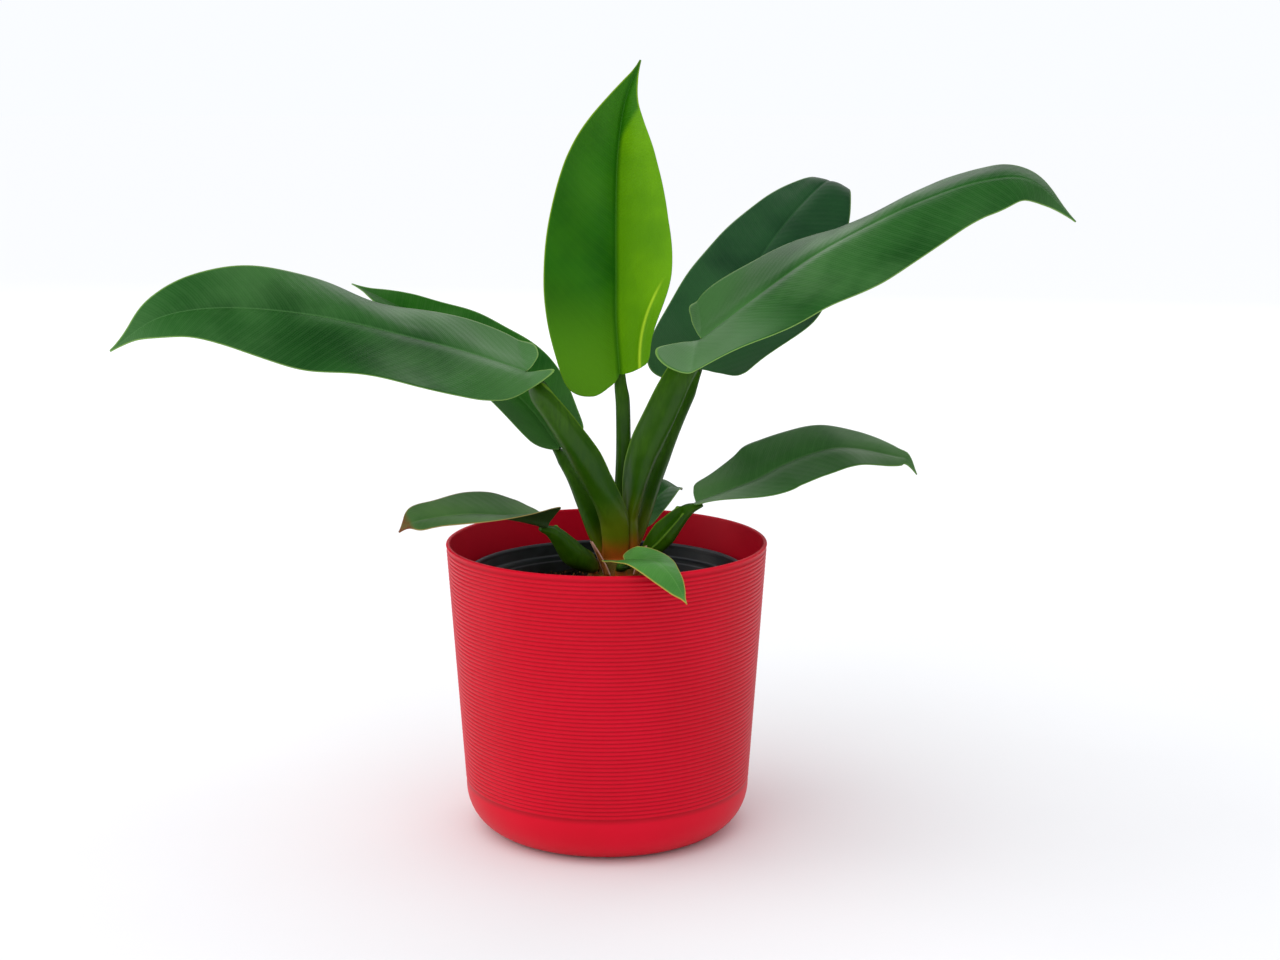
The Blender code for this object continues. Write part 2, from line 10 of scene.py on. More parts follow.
import bpy
import numpy as np
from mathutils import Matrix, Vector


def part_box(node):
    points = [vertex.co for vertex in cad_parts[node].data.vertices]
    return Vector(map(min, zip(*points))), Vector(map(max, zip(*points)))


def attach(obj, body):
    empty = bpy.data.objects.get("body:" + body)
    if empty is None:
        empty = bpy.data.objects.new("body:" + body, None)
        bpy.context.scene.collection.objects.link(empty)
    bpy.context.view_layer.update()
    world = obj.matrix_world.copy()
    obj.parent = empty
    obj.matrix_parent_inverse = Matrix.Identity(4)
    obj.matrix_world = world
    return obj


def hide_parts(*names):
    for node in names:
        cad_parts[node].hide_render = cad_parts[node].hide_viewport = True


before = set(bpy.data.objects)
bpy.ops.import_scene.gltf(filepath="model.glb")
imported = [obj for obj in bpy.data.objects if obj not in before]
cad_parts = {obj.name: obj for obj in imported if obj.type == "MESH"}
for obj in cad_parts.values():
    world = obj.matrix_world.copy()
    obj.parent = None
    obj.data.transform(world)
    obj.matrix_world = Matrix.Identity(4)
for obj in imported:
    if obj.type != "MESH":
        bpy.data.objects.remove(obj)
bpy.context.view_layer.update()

MM = 0.001

# Camera, from the rims of both pots in the photo: focal length and place.
PHOTO_WIDTH_PX = 1280
FOCAL_PX = 1991
SENSOR_MM = 36.0
CAMERA_PLACE = (0.0, -1.148, 0.424)
CAMERA_PITCH = 10.67
CAMERA_YAW = 0.98

# Cover pot: the sizes come from its solid, the rest was measured in the photo.
POT_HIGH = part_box("outer_pot")[1]
POT_HEIGHT = POT_HIGH.z / MM
POT_RIM_RADIUS = POT_HIGH.x / MM
POT_SHOULDER_RADIUS = 84.6
POT_BASE_RADIUS = 62.0
POT_CORNER_HEIGHT = 26.0
POT_WALL = 2.5
POT_FLOOR = 3.0
RIB_BOTTOM = 29.0
RIB_TOP = 168.4
RIB_COUNT = 58
RIB_DEPTH = 0.6
RIB_POINTS = 6
POT_STEPS = 144

# Grow pot
GROW_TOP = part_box("nursery_pot")[1].z / MM
GROW_RIM_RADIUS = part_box("nursery_pot")[1].x / MM
GROW_MOUTH_RADIUS = 79.0
GROW_BASE_RADIUS = 57.0
GROW_WALL = 1.5
GROW_LIP = 5.0
GROW_FLOOR = 2.0
GROW_STEP_DROP = 9.0
# Heights in metres of two thin bands painted as highlights along the grow pot's step lines.
STEP_HIGHLIGHT_BANDS = ((0.1428, 0.1433), (0.1458, 0.1464))
DRAIN_RADIUS = 4.0
DRAIN_CIRCLE = 38.0
DRAIN_COUNT = 8

# Soil and crown
SOIL_TOP = 137.0
SOIL_BUMP = 1.6
CROWN_X = 7.0
CROWN_Y = -2.0
CROWN_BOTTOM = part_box("crown")[0].z / MM
CROWN_SHOULDER = 154.0
CROWN_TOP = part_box("crown")[1].z / MM
CROWN_RADIUS = 18.4
CROWN_NECK_RADIUS = 12.8
SCAR_PITCH = 5.2
GAP = 0.3

# Leaf stalks
MIDRIB_THICK = 2.2
RIB_SAMPLES = 121
STALK_CLEARANCE = 0.45
STALK_BEFORE_BLADE = 7.0
STALK_UNDER_BLADE = 3.0
STALK_RISE = 4.0
STALK_UPPER = 0.7
TURNED_BY = 0.4
BLADE_TURN = (0.7, 0.95)
STALK_KNOTS = (0, 0.2, 0.5, 0.85, 1.0)

# Half outline of a blade, as shares of its length and half width. Points behind the stalk have
# a negative length, a share of the lobe.
OUTLINE = (
    (-0.2, 0.03), (-0.55, 0.14), (-1.0, 0.42), (-0.6, 0.76), (0.06, 0.93), (0.27, 1.0),
    (0.50, 0.91), (0.72, 0.63), (0.87, 0.33), (0.94, 0.12), (0.975, 0.045), (1.0, 0.012),
)

LOBE_START = -0.3
HEEL_END = 0.1
TIP_START = 0.8

# Each leaf, in millimetres and degrees. The midrib runs from the stalk to the tip. Pairs are for
# the left and the right half, seen from above with the tip ahead. A lobe is how far a half reaches
# behind the stalk, back its direction and lobe_lift its rise. Heel and tip narrow the outline's
# ends, point narrows a lobe, belly shifts the widest place, and lean draws the base towards the
# tip. Fold and curl turn a half up from the midrib, at the base and at the tip, and fade is how
# fast the fold changes between them. A wave is its height, count and phase.
LEAVES = {
    "left_front": dict(
        midrib=[(-46, -25, 276), (-76, -38, 288), (-104, -48, 297), (-154, -62, 311),
                (-204, -72, 317), (-240, -76, 312), (-267, -78, 294)],
        face=[(0, -0.28, 0.96), (0, -0.42, 0.90)], half=(49, 39), lobe=(16, 9), heel=(0.82, 0.9),
        lean=(9, 0), point=(0.55, 1),
        fold=[(-9, -16), (5, 30)], curl=[(-6, -6), (-6, -10)], back=(1, 0.2, -0.15),
        lobe_lift=(11, 4), wave=[(4.5, 2.0, 0.57), (9, 1.2, 0.29)],
        stalk_base=(8.5, -105, 162.3), stalk_face=(0.8, 0.2, 0.6),
        stalk=[(5, -11, 178), (3, -12, 192), (-9, -15, 221), (-23.5, -19, 244), (-36, -22.5, 262)],
        wide=(7.6, 9.4, 10.0, 9.0, 3.0), deep=(3.3, 7.8, 10.6, 7.8, 2.2)),
    "left_back": dict(
        midrib=[(-28, 22, 224), (-46, 45, 244), (-72, 75, 263), (-98, 103, 280),
                (-132, 130, 297), (-165, 150, 310)],
        face=[(0, -0.3, 0.95), (0, -0.3, 0.95)], half=(39, 30), lobe=(7, 5), heel=(0.85, 0.8),
        fold=[(26, 10), (50, 5)], curl=[(10, 0), (0, -10)], back=(0.5, -0.6, -0.2),
        stalk_base=(8.5, 160, 162.3), stalk_face=(0.6, -0.7, 0.4),
        stalk=[(-6, 1, 175), (-11, 4, 189), (-18, 11, 205)],
        wide=(5.5, 6.0, 5.6, 4.6, 2.4), deep=(3.2, 4.2, 4.2, 3.6, 2.0)),
    "centre": dict(
        midrib=[(8, 10, 269), (6, 14, 300), (6, 18, 327), (6, 22, 358), (7, 22, 393),
                (11, 16, 424), (20, 8, 449)],
        face=[(0, -1, 0.1), (0, -1, 0.1)], half=(46, 41), lobe=(12, 3), belly=(1, 0.95),
        heel=(0.92, 0.68), lean=(0, 11), tip=0.7, creased=True,
        fold=[(20, 20), (35, 35)], curl=[(10, 10), (10, 10)],
        stalk_base=(6.0, 95, 162.3), stalk_face=(0, -1, 0), untwisted=True,
        stalk=[(8, 7.5, 190), (10, 9.5, 220), (9.8, 11, 250)],
        wide=(3.6, 4.2, 4.4, 4.2, 3.0), deep=(3.6, 4.2, 4.4, 4.0, 2.4)),
    "right_front": dict(
        midrib=[(55, -5, 292), (85, -18, 317), (116, -30, 341), (146, -42, 359), (176, -52, 374),
                (205, -60, 384), (230, -64, 384), (255, -66, 362)],
        face=[(-0.2, -0.35, 0.9), (0, -0.4, 0.9)], half=(47, 54), lobe=(4, 18),
        fold=[(0, -14), (5, -20)], curl=[(-8, -4), (-10, -6)], back=(-1, 0, -0.1),
        lobe_lift=(3, 9), wave=[(9, 1, 0.25), (5, 1, 0.25)],
        stalk_base=(9.5, -27, 162.3), stalk_face=(-0.6, -0.7, 0.4),
        stalk=[(14.5, -4, 178), (14, -2, 190), (19.5, -2, 220), (31.5, -4, 248), (43, -5, 271)],
        wide=(4.4, 8.2, 10.8, 9.6, 4.0), deep=(3.0, 5.0, 8.0, 7.2, 3.0)),
    "right_back": dict(
        midrib=[(54, 45, 268), (71, 75, 292), (89, 105, 317), (109, 135, 342), (129, 160, 362),
                (147, 180, 375), (154, 195, 367), (155, 208, 350)],
        face=[(0, -0.3, 0.95), (0, -0.3, 0.95)], half=(37, 53), lobe=(14, 2), heel=(1, 0.75),
        tip=0.7, fold=[(8, -6), (4, -8)], curl=[(0, 0), (0, -60)],
        back=(-0.3, -0.45, -0.8),
        stalk_base=(9.5, 33, 162.3), stalk_face=(-0.6, -0.7, 0.4),
        stalk=[(20, 8, 179), (27.5, 20, 204), (37, 31, 229)],
        wide=(4.4, 5.2, 6.4, 5.8, 2.6), deep=(3.0, 4.2, 5.4, 5.0, 2.3)),
    "low_right": dict(
        midrib=[(52, -13, 197.5), (84, -10, 209), (101, -6, 217), (117, -2, 223), (134, 2, 226.5),
                (151, 6, 225), (172, 8, 220), (178, 8, 218), (184, 8, 209)],
        face=[(0, -0.25, 0.96), (0, -0.25, 0.96)], half=(31, 30), lobe=(2, 2), heel=(0.7, 0.6),
        lean=(7, 0), fold=[(8, 8), (17, -18)], curl=[(-8, -8), (-8, -8)],
        stalk_base=(15.7, -15, 154.3), stalk_face=(-0.5, -0.6, 0.7),
        stalk=[(25.5, -10, 168), (36, -12, 181)],
        wide=(4.8, 6.6, 8.2, 4.6, 1.7), deep=(2.4, 5.0, 6.8, 3.4, 1.2)),
    "low_left": dict(
        midrib=[(-34, -36, 189), (-43, -42, 193), (-57, -50, 197), (-76, -58, 200),
                (-94, -64, 199.5), (-108, -68, 197), (-115, -70, 192)],
        face=[(0, -0.25, 0.96), (0, -0.3, 0.96)], half=(17, 24), lobe=(1.5, 2), heel=(1.2, 0.9),
        lean=(5, 0), tip=1.7, fold=[(62, -8), (10, 8)], fade=(2.2, 1), curl=[(-8, -8), (-8, -8)],
        stalk_base=(15.7, -160, 154.3), stalk_face=(0.4, -0.3, 0.9),
        stalk=[(-13, -16.5, 163.5), (-19.5, -24, 170)],
        wide=(4.8, 6.6, 7.6, 4.6, 1.8), deep=(2.4, 7.0, 8.2, 4.2, 1.4)),
    "small_front": dict(
        midrib=[(11, -55, 172), (17.5, -66, 175.5), (24, -80, 178.5), (29.5, -93, 178.5),
                (36.5, -103, 172), (43, -112, 161)],
        face=[(0, -0.3, 0.95), (0, -0.5, 0.85)], half=(12.5, 18.5), lobe=(9, 3),
        fold=[(30, -26), (14, -20)], fade=(3, 0.5),
        stalk_base=(15.7, -85, 154.3), stalk_face=(0, 0.2, 1),
        stalk=[(8.5, -25, 161), (8.8, -36, 165.5)],
        wide=(3.8, 3.2, 2.8, 2.4, 1.6), deep=(2.3, 2.3, 2.1, 1.8, 1.3)),
    "small_back": dict(
        midrib=[(20, 30, 176), (26, 36, 184), (33, 44, 191), (40, 52, 194), (47, 62, 190)],
        face=[(0, -0.3, 0.95), (0, -0.3, 0.95)], half=(14, 12), lobe=(3, 3),
        fold=[(8, 8), (15, 8)],
        stalk_base=(15.7, 70, 154.3), stalk_face=(0, 0, 1),
        stalk=[(13, 17, 160), (15.5, 22, 167)],
        wide=(3.8, 3.2, 2.8, 2.4, 1.6), deep=(2.3, 2.3, 2.1, 1.8, 1.3)),
}
LARGE_LEAVES = ("left_front", "left_back", "centre", "right_front", "right_back")

# How finely a large and a small leaf are made: rows along the blade and columns across each half,
# then rings along the stalk. Every stalk has the same number of sides.
LARGE_MESH = (220, 30, 90)
SMALL_MESH = (110, 20, 60)
STALK_SIDES = 48

# Stalk section: the angle round it at which its two wings stand, how wide and how high they are,
# and the depth and half width of the channel between them.
WING_ANGLE = math.radians(48)
WING_SHARP = 0.15
WING_HEIGHT = 1.2
CHANNEL_DEPTH = 0.38
CHANNEL_HALF = 0.42

# How strong the left and the right wing of a stalk are. Then, as shares of its length, where both
# end in a raised tip, how long that tip is and where they have come up in full.
WINGS = {
    "left_front": (1.0, 0.2), "left_back": (0.1, 1.0), "centre": (0.15, 0.15),
    "right_front": (1.0, 0.1), "right_back": (1.0, 0.1), "low_right": (1.0, 1.0),
    "low_left": (0.1, 1.0), "small_front": (0.6, 0.6), "small_back": (0.6, 0.6),
}
WING_END = {"left_front": 0.9, "low_right": 0.8, "low_left": 0.84}
USUAL_WING_END = 0.86
WING_TIP = 0.022
WING_START = 0.12

# Dry scale leaves: direction from the crown in degrees, lean outwards and sideways and height,
# then the radius they stand on, half the width of their foot and their thickness.
SCALES = {"scale_left": (-116, 8.0, -6.0, 21.0), "scale_right": (-50, 5.0, 3.0, 17.0)}
SCALE_SEAT_RADIUS = 16.6
SCALE_FOOT_HALF = 2.4
SCALE_THICK = 0.3

# Soil: points round and across its top, then the crumbs and fibres strewn on it, with the crumbs'
# sizes in millimetres and how often each comes.
SOIL_MESH = (220, 60)
CRUMB_COUNT = 2600
CRUMB_SIZES = (0.6, 0.9, 1.3, 2.1)
CRUMB_SHARES = (0.4, 0.35, 0.2, 0.05)
FIBRE_COUNT = 90
FIBRE_STEPS = 7

# Blade surface, in millimetres: thickness in the blade, at its edge and over the midrib's keel,
# the groove above the midrib and the shallow valley it lies in, slow unevenness, and the pitch,
# height, slope and sweep of the quilting between side veins. Behind the stalk the blade turns to
# its lobes' own direction within the bend's reach.
BLADE_THICK = 0.6
EDGE_THICK = 0.35
KEEL_DEPTH = 1.7
KEEL_HALF = 1.5
GROOVE_DEPTH = 0.6
GROOVE_HALF = 1.4
VALLEY_DEPTH = 1.1
VALLEY_HALF = 5.5
UNEVEN_HEIGHT = 0.9
VEIN_PITCH = 6.2
VEIN_HEIGHT = 0.045
VEIN_SLOPE = 0.62
VEIN_SWEEP = 0.006
BEND_REACH = 4.0

# The centre leaf's crease in its right half: distance out from the midrib at the stalk, how
# much that grows with the square of the share along the blade, the share where it ends, its
# height and half width, and how soon it fades out.
CREASE_START = 14.5
CREASE_SPREAD = 230.0
CREASE_END = 0.31
CREASE_HEIGHT = 1.0
CREASE_HALF = 2.2
CREASE_FADE = 0.08


def unit(vectors):
    """Vectors brought to a length of one."""
    vectors = np.asarray(vectors, float)
    return vectors / np.maximum(np.linalg.norm(vectors, axis=-1, keepdims=True), 1e-9)


def smooth_curve(points, count):
    """Evenly spaced points on a smooth curve through the given ones, and its length."""
    p = np.array(points, float)
    p = np.vstack([2 * p[0] - p[1], p, 2 * p[-1] - p[-2]])
    t = np.linspace(0, 1, 24, endpoint=False)[:, None]
    runs = []
    for a, b, c, d in zip(p, p[1:], p[2:], p[3:]):
        bend = t ** 2 * (a - 2.5 * b + 2 * c - 0.5 * d)
        twist = t ** 3 * (1.5 * (b - c) + 0.5 * (d - a))
        runs.append(b + 0.5 * t * (c - a) + bend + twist)
    dense = np.vstack(runs + [p[-2:-1]])
    step = np.linalg.norm(np.diff(dense, axis=0), axis=1)
    run = np.concatenate([[0.0], np.cumsum(step)])
    at = np.linspace(0, run[-1], count)
    even = [np.interp(at, run, dense[:, k]) for k in range(p.shape[1])]
    return np.column_stack(even), run[-1]


def square_frames(path, faces):
    """Tangent, upward normal and left-hand side along a path."""
    along = unit(np.gradient(path, axis=0))
    normal = unit(faces - (faces * along).sum(1, keepdims=True) * along)
    return along, normal, np.cross(normal, along)


def margin(leaf, k, length, count):
    """The edge of one half of a flat blade: distance along the midrib and out from it."""
    half, lobe = leaf["half"][k], leaf["lobe"][k]
    belly = leaf.get("belly", (1, 1))[k]
    heel = leaf.get("heel", (1, 1))[k]
    lean = leaf.get("lean", (0, 0))[k]
    point = leaf.get("point", (1, 1))[k]
    tip = leaf.get("tip", 1.0)
    points = []
    for along, out in OUTLINE:
        reach = along * lobe if along < 0 else length * along ** belly
        reach += lean * out * (1 - max(along, 0)) ** 3
        narrow = heel if along < HEEL_END else tip if along > TIP_START else 1.0
        narrow *= point if along < LOBE_START else 1.0
        points.append((reach, half * out * narrow))
    return smooth_curve(points, count)[0]


def uneven(a, w, seed):
    """Slow natural unevenness of a blade, between -1 and 1, from the place on it."""
    return (np.sin(0.055 * a + 0.04 * w + seed) * np.cos(0.07 * w - 0.03 * a + 2.1 * seed)
            + 0.5 * np.sin(0.12 * a - 0.09 * w + 3.7 * seed)) / 1.5


def vein_line(a, w):
    """Where a place on a blade lies between side veins: a whole number on each vein."""
    return (a - VEIN_SLOPE * w - VEIN_SWEEP * w ** 2) / VEIN_PITCH


def blade_surface(leaf, rows, columns, seed):
    """Upper surface of a blade, rows along it and columns right to left, and each point's place:
    distance along the midrib, distance out from it and distance from the edge."""
    rib, length = smooth_curve(leaf["midrib"], RIB_SAMPLES)
    mix = np.linspace(0, 1, len(rib))[:, None]
    faces = unit(leaf["face"][0]) * (1 - mix) + unit(leaf["face"][1]) * mix
    along, normal, side = square_frames(rib, faces)
    place = np.linspace(0, length, len(rib))
    backward = -unit(leaf["back"]) if "back" in leaf else along[0]
    halves = []
    for k, sign in ((0, 1.0), (1, -1.0)):
        half = leaf["half"][k]
        edge = margin(leaf, k, length, rows + 1)
        root = length * np.linspace(0, 1, rows + 1) ** 1.5
        share = (np.linspace(0, 1, columns + 1) ** 1.2)[None, :]
        a = root[:, None] + (edge[:, :1] - root[:, None]) * share ** 1.3
        w = edge[:, 1:] * share
        on_rib = np.clip(a, 0, length)

        def at(values):
            return np.stack([np.interp(on_rib, place, values[:, i]) for i in range(3)], -1)

        fold_base, fold_tip = leaf["fold"][k]
        curl_base, curl_tip = leaf.get("curl", [(0, 0), (0, 0)])[k]
        fade = leaf.get("fade", (1, 1))[k]
        fold = np.radians(fold_tip + (fold_base - fold_tip) * (1 - on_rib / length) ** fade)
        curl = np.radians(curl_base + (curl_tip - curl_base) * on_rib / length) / half
        curl = np.where(np.abs(curl) < 1e-6, 1e-6, curl)
        out = (np.sin(fold + curl * w) - np.sin(fold)) / curl
        lift = (np.cos(fold) - np.cos(fold + curl * w)) / curl
        height, count, phase = leaf.get("wave", [(0, 0, 0), (0, 0, 0)])[k]
        lift += height * (w / half) ** 2 * np.sin(2 * math.pi * (count * a / length + phase))
        behind = np.clip(-a, 0, None) / leaf["lobe"][k]
        lift += leaf.get("lobe_lift", (0, 0))[k] * behind ** 1.6
        from_edge = (edge[:, 1:] * (1 - share)) + 0 * a
        inner = np.clip(w / 4, 0, 1) * np.clip(from_edge / 3, 0, 1)
        lift += UNEVEN_HEIGHT * uneven(a, w, seed + k) * np.clip(w / 12, 0, 1)
        lift += VEIN_HEIGHT * inner * np.cos(2 * math.pi * vein_line(a, w))
        room = np.clip((length - a) / (0.2 * length), 0.15, 1) * min(1, length / 120)
        lift -= GROOVE_DEPTH * room * np.exp(-(w / GROOVE_HALF) ** 2)
        lift += VALLEY_DEPTH * room * (1 - np.exp(-(w / VALLEY_HALF) ** 2))
        if leaf.get("creased") and sign < 0:
            off = w - CREASE_START - CREASE_SPREAD * (a / length) ** 2
            here = np.clip((CREASE_END - a / length) / CREASE_FADE, 0, 1)
            lift += CREASE_HEIGHT * here * np.exp(-(off / CREASE_HALF) ** 2)
        past = np.clip(-a, 0, None)
        easing = BEND_REACH * (1 - np.exp(-past / BEND_REACH))
        points = at(rib) - backward * (past - easing)[..., None] - along[0] * easing[..., None]
        points = points + unit(at(side)) * (sign * out)[..., None]
        points = points + unit(at(normal)) * lift[..., None]
        halves.append((points, np.stack([a, sign * w, from_edge], -1)))
    (left, left_place), (right, right_place) = halves
    surface = np.concatenate([right[:, :0:-1], left], axis=1)
    places = np.concatenate([right_place[:, :0:-1], left_place], axis=1)
    return surface, places, length


def grid_quads(index, flip=False):
    """Quads between the neighbouring points of a grid of point numbers."""
    a, b, c, d = index[:-1, :-1], index[1:, :-1], index[1:, 1:], index[:-1, 1:]
    ring = [a, b, c, d] if flip else [a, d, c, b]
    return np.stack([corner.ravel() for corner in ring], -1).tolist()


def ring_grid(rings, sides, start=0):
    """Point numbers of closed rings, each with its first point again at its end."""
    index = np.arange(rings * sides).reshape(rings, sides) + start
    return np.concatenate([index, index[:, :1]], axis=1)


def end_fans(index, first, last, flip=False):
    """Triangles from one middle point to the first ring and from another to the last."""
    faces = []
    for middle, ring, turned in ((first, index[0], flip), (last, index[-1], not flip)):
        for a, b in zip(ring[:-1].tolist(), ring[1:].tolist()):
            faces.append([middle, b, a] if turned else [middle, a, b])
    return faces


def sheet_faces(rows, columns, flip=False):
    """Faces of a thin closed sheet, whose upper points come first and lower ones after them."""
    top = np.arange(rows * columns).reshape(rows, columns)
    below = top.size
    faces = grid_quads(top, flip) + grid_quads(top + below, not flip)
    rim = np.concatenate([top[0, :-1], top[:-1, -1], top[-1, :0:-1], top[:0:-1, 0]]).tolist()
    for a, b in zip(rim, rim[1:] + rim[:1]):
        faces.append([a, b, b + below, a + below] if flip else [b, a, a + below, b + below])
    return faces


def add_object(name, data):
    """A new object in the scene for a mesh, a light or a camera."""
    thing = bpy.data.objects.new(name, data)
    bpy.context.scene.collection.objects.link(thing)
    return thing


def make_piece(name, points, faces, finish, node, marks=None):
    """A smooth-shaded mesh piece in metres that stands for one of the solids."""
    mesh = bpy.data.meshes.new(name)
    mesh.from_pydata((np.asarray(points, float).reshape(-1, 3) * MM).tolist(), [], faces)
    for label, values in (marks or {}).items():
        kind, field = ("FLOAT", "value") if values.ndim == 1 else ("FLOAT_VECTOR", "vector")
        layer = mesh.attributes.new(label, kind, "POINT")
        layer.data.foreach_set(field, values.astype(np.float32).ravel())
    mesh.materials.append(finish)
    mesh.shade_smooth()
    piece = add_object(name, mesh)
    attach(piece, "root")
    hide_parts(node)
    return piece


def leaf_blade(name, leaf, rows, columns, finish, seed):
    """One blade: veined upper side, keeled underside and a thin edge."""
    surface, places, length = blade_surface(leaf, rows, columns, seed)
    down_rows = np.gradient(surface, axis=0)
    across = np.gradient(surface, axis=1)
    facing = unit(np.cross(down_rows, across))
    middle = facing[:, columns]
    wanted = unit(leaf["face"][0])
    if (middle[rows // 3] @ wanted) < 0:
        facing = -facing
    a, w, from_edge = places[..., 0], np.abs(places[..., 1]), places[..., 2]
    thin = EDGE_THICK + (BLADE_THICK - EDGE_THICK) * np.clip(from_edge / 4, 0, 1)
    slim = np.clip((length - a) / (0.9 * length), 0.12, 1)
    keel_half = KEEL_HALF * (0.5 + 0.5 * slim)
    keel = KEEL_DEPTH * slim * np.exp(-(w / keel_half) ** 2)
    under = surface - facing * (thin + keel)[..., None]
    points = np.concatenate([surface.reshape(-1, 3), under.reshape(-1, 3)])
    marks = {
        "leaf_place": np.concatenate([places.reshape(-1, 3)] * 2),
        "leaf_under": np.repeat([0.0, 1.0], a.size),
        "leaf_share": np.concatenate([(a / length).ravel()] * 2),
    }
    faces = sheet_faces(*a.shape)
    return make_piece("blade_" + name, points, faces, finish, "leaf_" + name, marks)


def stalk_path(leaf, rings):
    """Middle line of a stalk, its upward normals and sides, and the share along it."""
    radius, degrees, level = leaf["stalk_base"]
    angle = math.radians(degrees)
    x = CROWN_X + radius * math.cos(angle)
    y = CROWN_Y + radius * math.sin(angle)
    rib = smooth_curve(leaf["midrib"], RIB_SAMPLES)[0]
    joint_way = unit(rib[2] - rib[0])
    joint_up = unit(leaf["face"][0])
    joint_up = unit(joint_up - (joint_up @ joint_way) * joint_way)
    drop = MIDRIB_THICK + STALK_CLEARANCE + STALK_UPPER * leaf["deep"][-1]
    seat = rib[0] - joint_up * drop
    foot = [(x, y, level), (x, y, level + STALK_RISE)]
    end = [seat - joint_way * STALK_BEFORE_BLADE, seat + joint_way * STALK_UNDER_BLADE]
    path = smooth_curve(foot + leaf["stalk"] + end, rings)[0]
    share = np.linspace(0, 1, rings)
    own_face = unit(leaf["stalk_face"])
    inward = np.array([-math.cos(angle), -math.sin(angle), 0.0])
    if leaf.get("untwisted"):
        inward = own_face
    low = np.clip(share / TURNED_BY, 0, 1)[:, None]
    turn_start, turn_end = BLADE_TURN
    high = np.clip((share - turn_start) / (turn_end - turn_start), 0, 1)[:, None]
    faces = inward * (1 - low) + own_face * low
    faces = faces * (1 - high) + joint_up * high
    along = unit(np.gradient(path, axis=0))
    along[0] = (0, 0, 1)
    normal = unit(faces - (faces * along).sum(1, keepdims=True) * along)
    return path, normal, np.cross(normal, along), share


def leaf_stalk(name, leaf, rings, sides, finish, seed):
    """One stalk: a channelled upper side between two thin wings that end below the blade."""
    path, normal, side, share = stalk_path(leaf, rings)
    wide = np.interp(share, STALK_KNOTS, leaf["wide"])
    deep = np.interp(share, STALK_KNOTS, leaf["deep"])
    turn = 2 * math.pi * np.arange(sides) / sides
    wing_end = WING_END.get(name, USUAL_WING_END)
    sheath = np.clip(share / WING_START, 0, 1) * np.clip((wing_end - share) / WING_TIP, 0, 1)
    sheath = sheath ** 0.5 * (1 + 0.9 * np.exp(-((share - wing_end + WING_TIP) / WING_TIP) ** 2))
    left, right = WINGS[name]
    wing = (left * np.exp(-((turn - WING_ANGLE) / WING_SHARP) ** 2)
            + right * np.exp(-((turn - math.pi + WING_ANGLE) / WING_SHARP) ** 2))
    channel = np.exp(-((turn - math.pi / 2) / CHANNEL_HALF) ** 2)
    flat = np.where(np.sin(turn) > 0, STALK_UPPER, 1.0)
    lean = 1 + 0.02 * np.sin(5 * turn[None, :] + 9 * share[:, None] + seed)
    across = wide[:, None] * np.cos(turn) * lean
    up = deep[:, None] * flat * np.sin(turn) * lean
    hollow = CHANNEL_DEPTH * min(left, right)
    up = up - deep[:, None] * hollow * np.minimum(sheath, 1)[:, None] * channel
    rise = WING_HEIGHT * sheath[:, None] * wing * (wide[:, None] / 8) ** 0.5
    across = across + rise * np.cos(turn) * 0.6
    up = up + rise
    ring = side[:, None] * across[..., None] + normal[:, None] * up[..., None]
    body = path[:, None] + ring
    points = np.concatenate([body.reshape(-1, 3), path[:1], path[-1:]])
    index = ring_grid(rings, sides)
    foot, head = rings * sides, rings * sides + 1
    faces = grid_quads(index, flip=True) + end_fans(index, foot, head, flip=True)
    marks = {
        "stalk_share": np.concatenate([np.repeat(share, sides), [0.0, 1.0]]),
        "stalk_wing": np.concatenate([(wing[None, :] * sheath[:, None]).ravel(), [0.0, 0.0]]),
    }
    return make_piece("petiole_" + name, points, faces, finish, "stalk_" + name, marks)


def turned_piece(name, profile, steps, finish, node, place=(0.0, 0.0), marks=None):
    """A turned shell from (radius, height) points that run up the inside and down the outside.
    Marks hold a value for each of those points."""
    profile = np.array(profile, float)
    turn = 2 * math.pi * np.arange(steps) / steps
    rings = profile[1:-1]
    x = place[0] + rings[:, :1] * np.cos(turn)
    y = place[1] + rings[:, :1] * np.sin(turn)
    z = np.repeat(rings[:, 1:], steps, axis=1)
    ends = [(place[0], place[1], profile[k, 1]) for k in (0, -1)]
    points = np.concatenate([np.stack([x, y, z], -1).reshape(-1, 3), ends])
    index = ring_grid(len(rings), steps)
    faces = grid_quads(index) + end_fans(index, x.size, x.size + 1)
    around = {}
    for key, values in (marks or {}).items():
        around[key] = np.concatenate([np.repeat(values[1:-1], steps), [values[0], values[-1]]])
    return make_piece(name, points, faces, finish, node, around)


def pot_outer_radius(height):
    """Radius of the cover pot's wall over its ribs."""
    share = (height - POT_CORNER_HEIGHT) / (POT_HEIGHT - POT_CORNER_HEIGHT)
    return POT_SHOULDER_RADIUS + (POT_RIM_RADIUS - POT_SHOULDER_RADIUS) * share


def quarter(base, shoulder, bottom, top, count):
    """A quarter-ellipse corner from the base's edge up to the wall."""
    points = []
    for k in range(count + 1):
        turn = math.radians(90 * k / count)
        radius = base + (shoulder - base) * math.sin(turn)
        points.append((radius, bottom + (top - bottom) * (1 - math.cos(turn))))
    return points


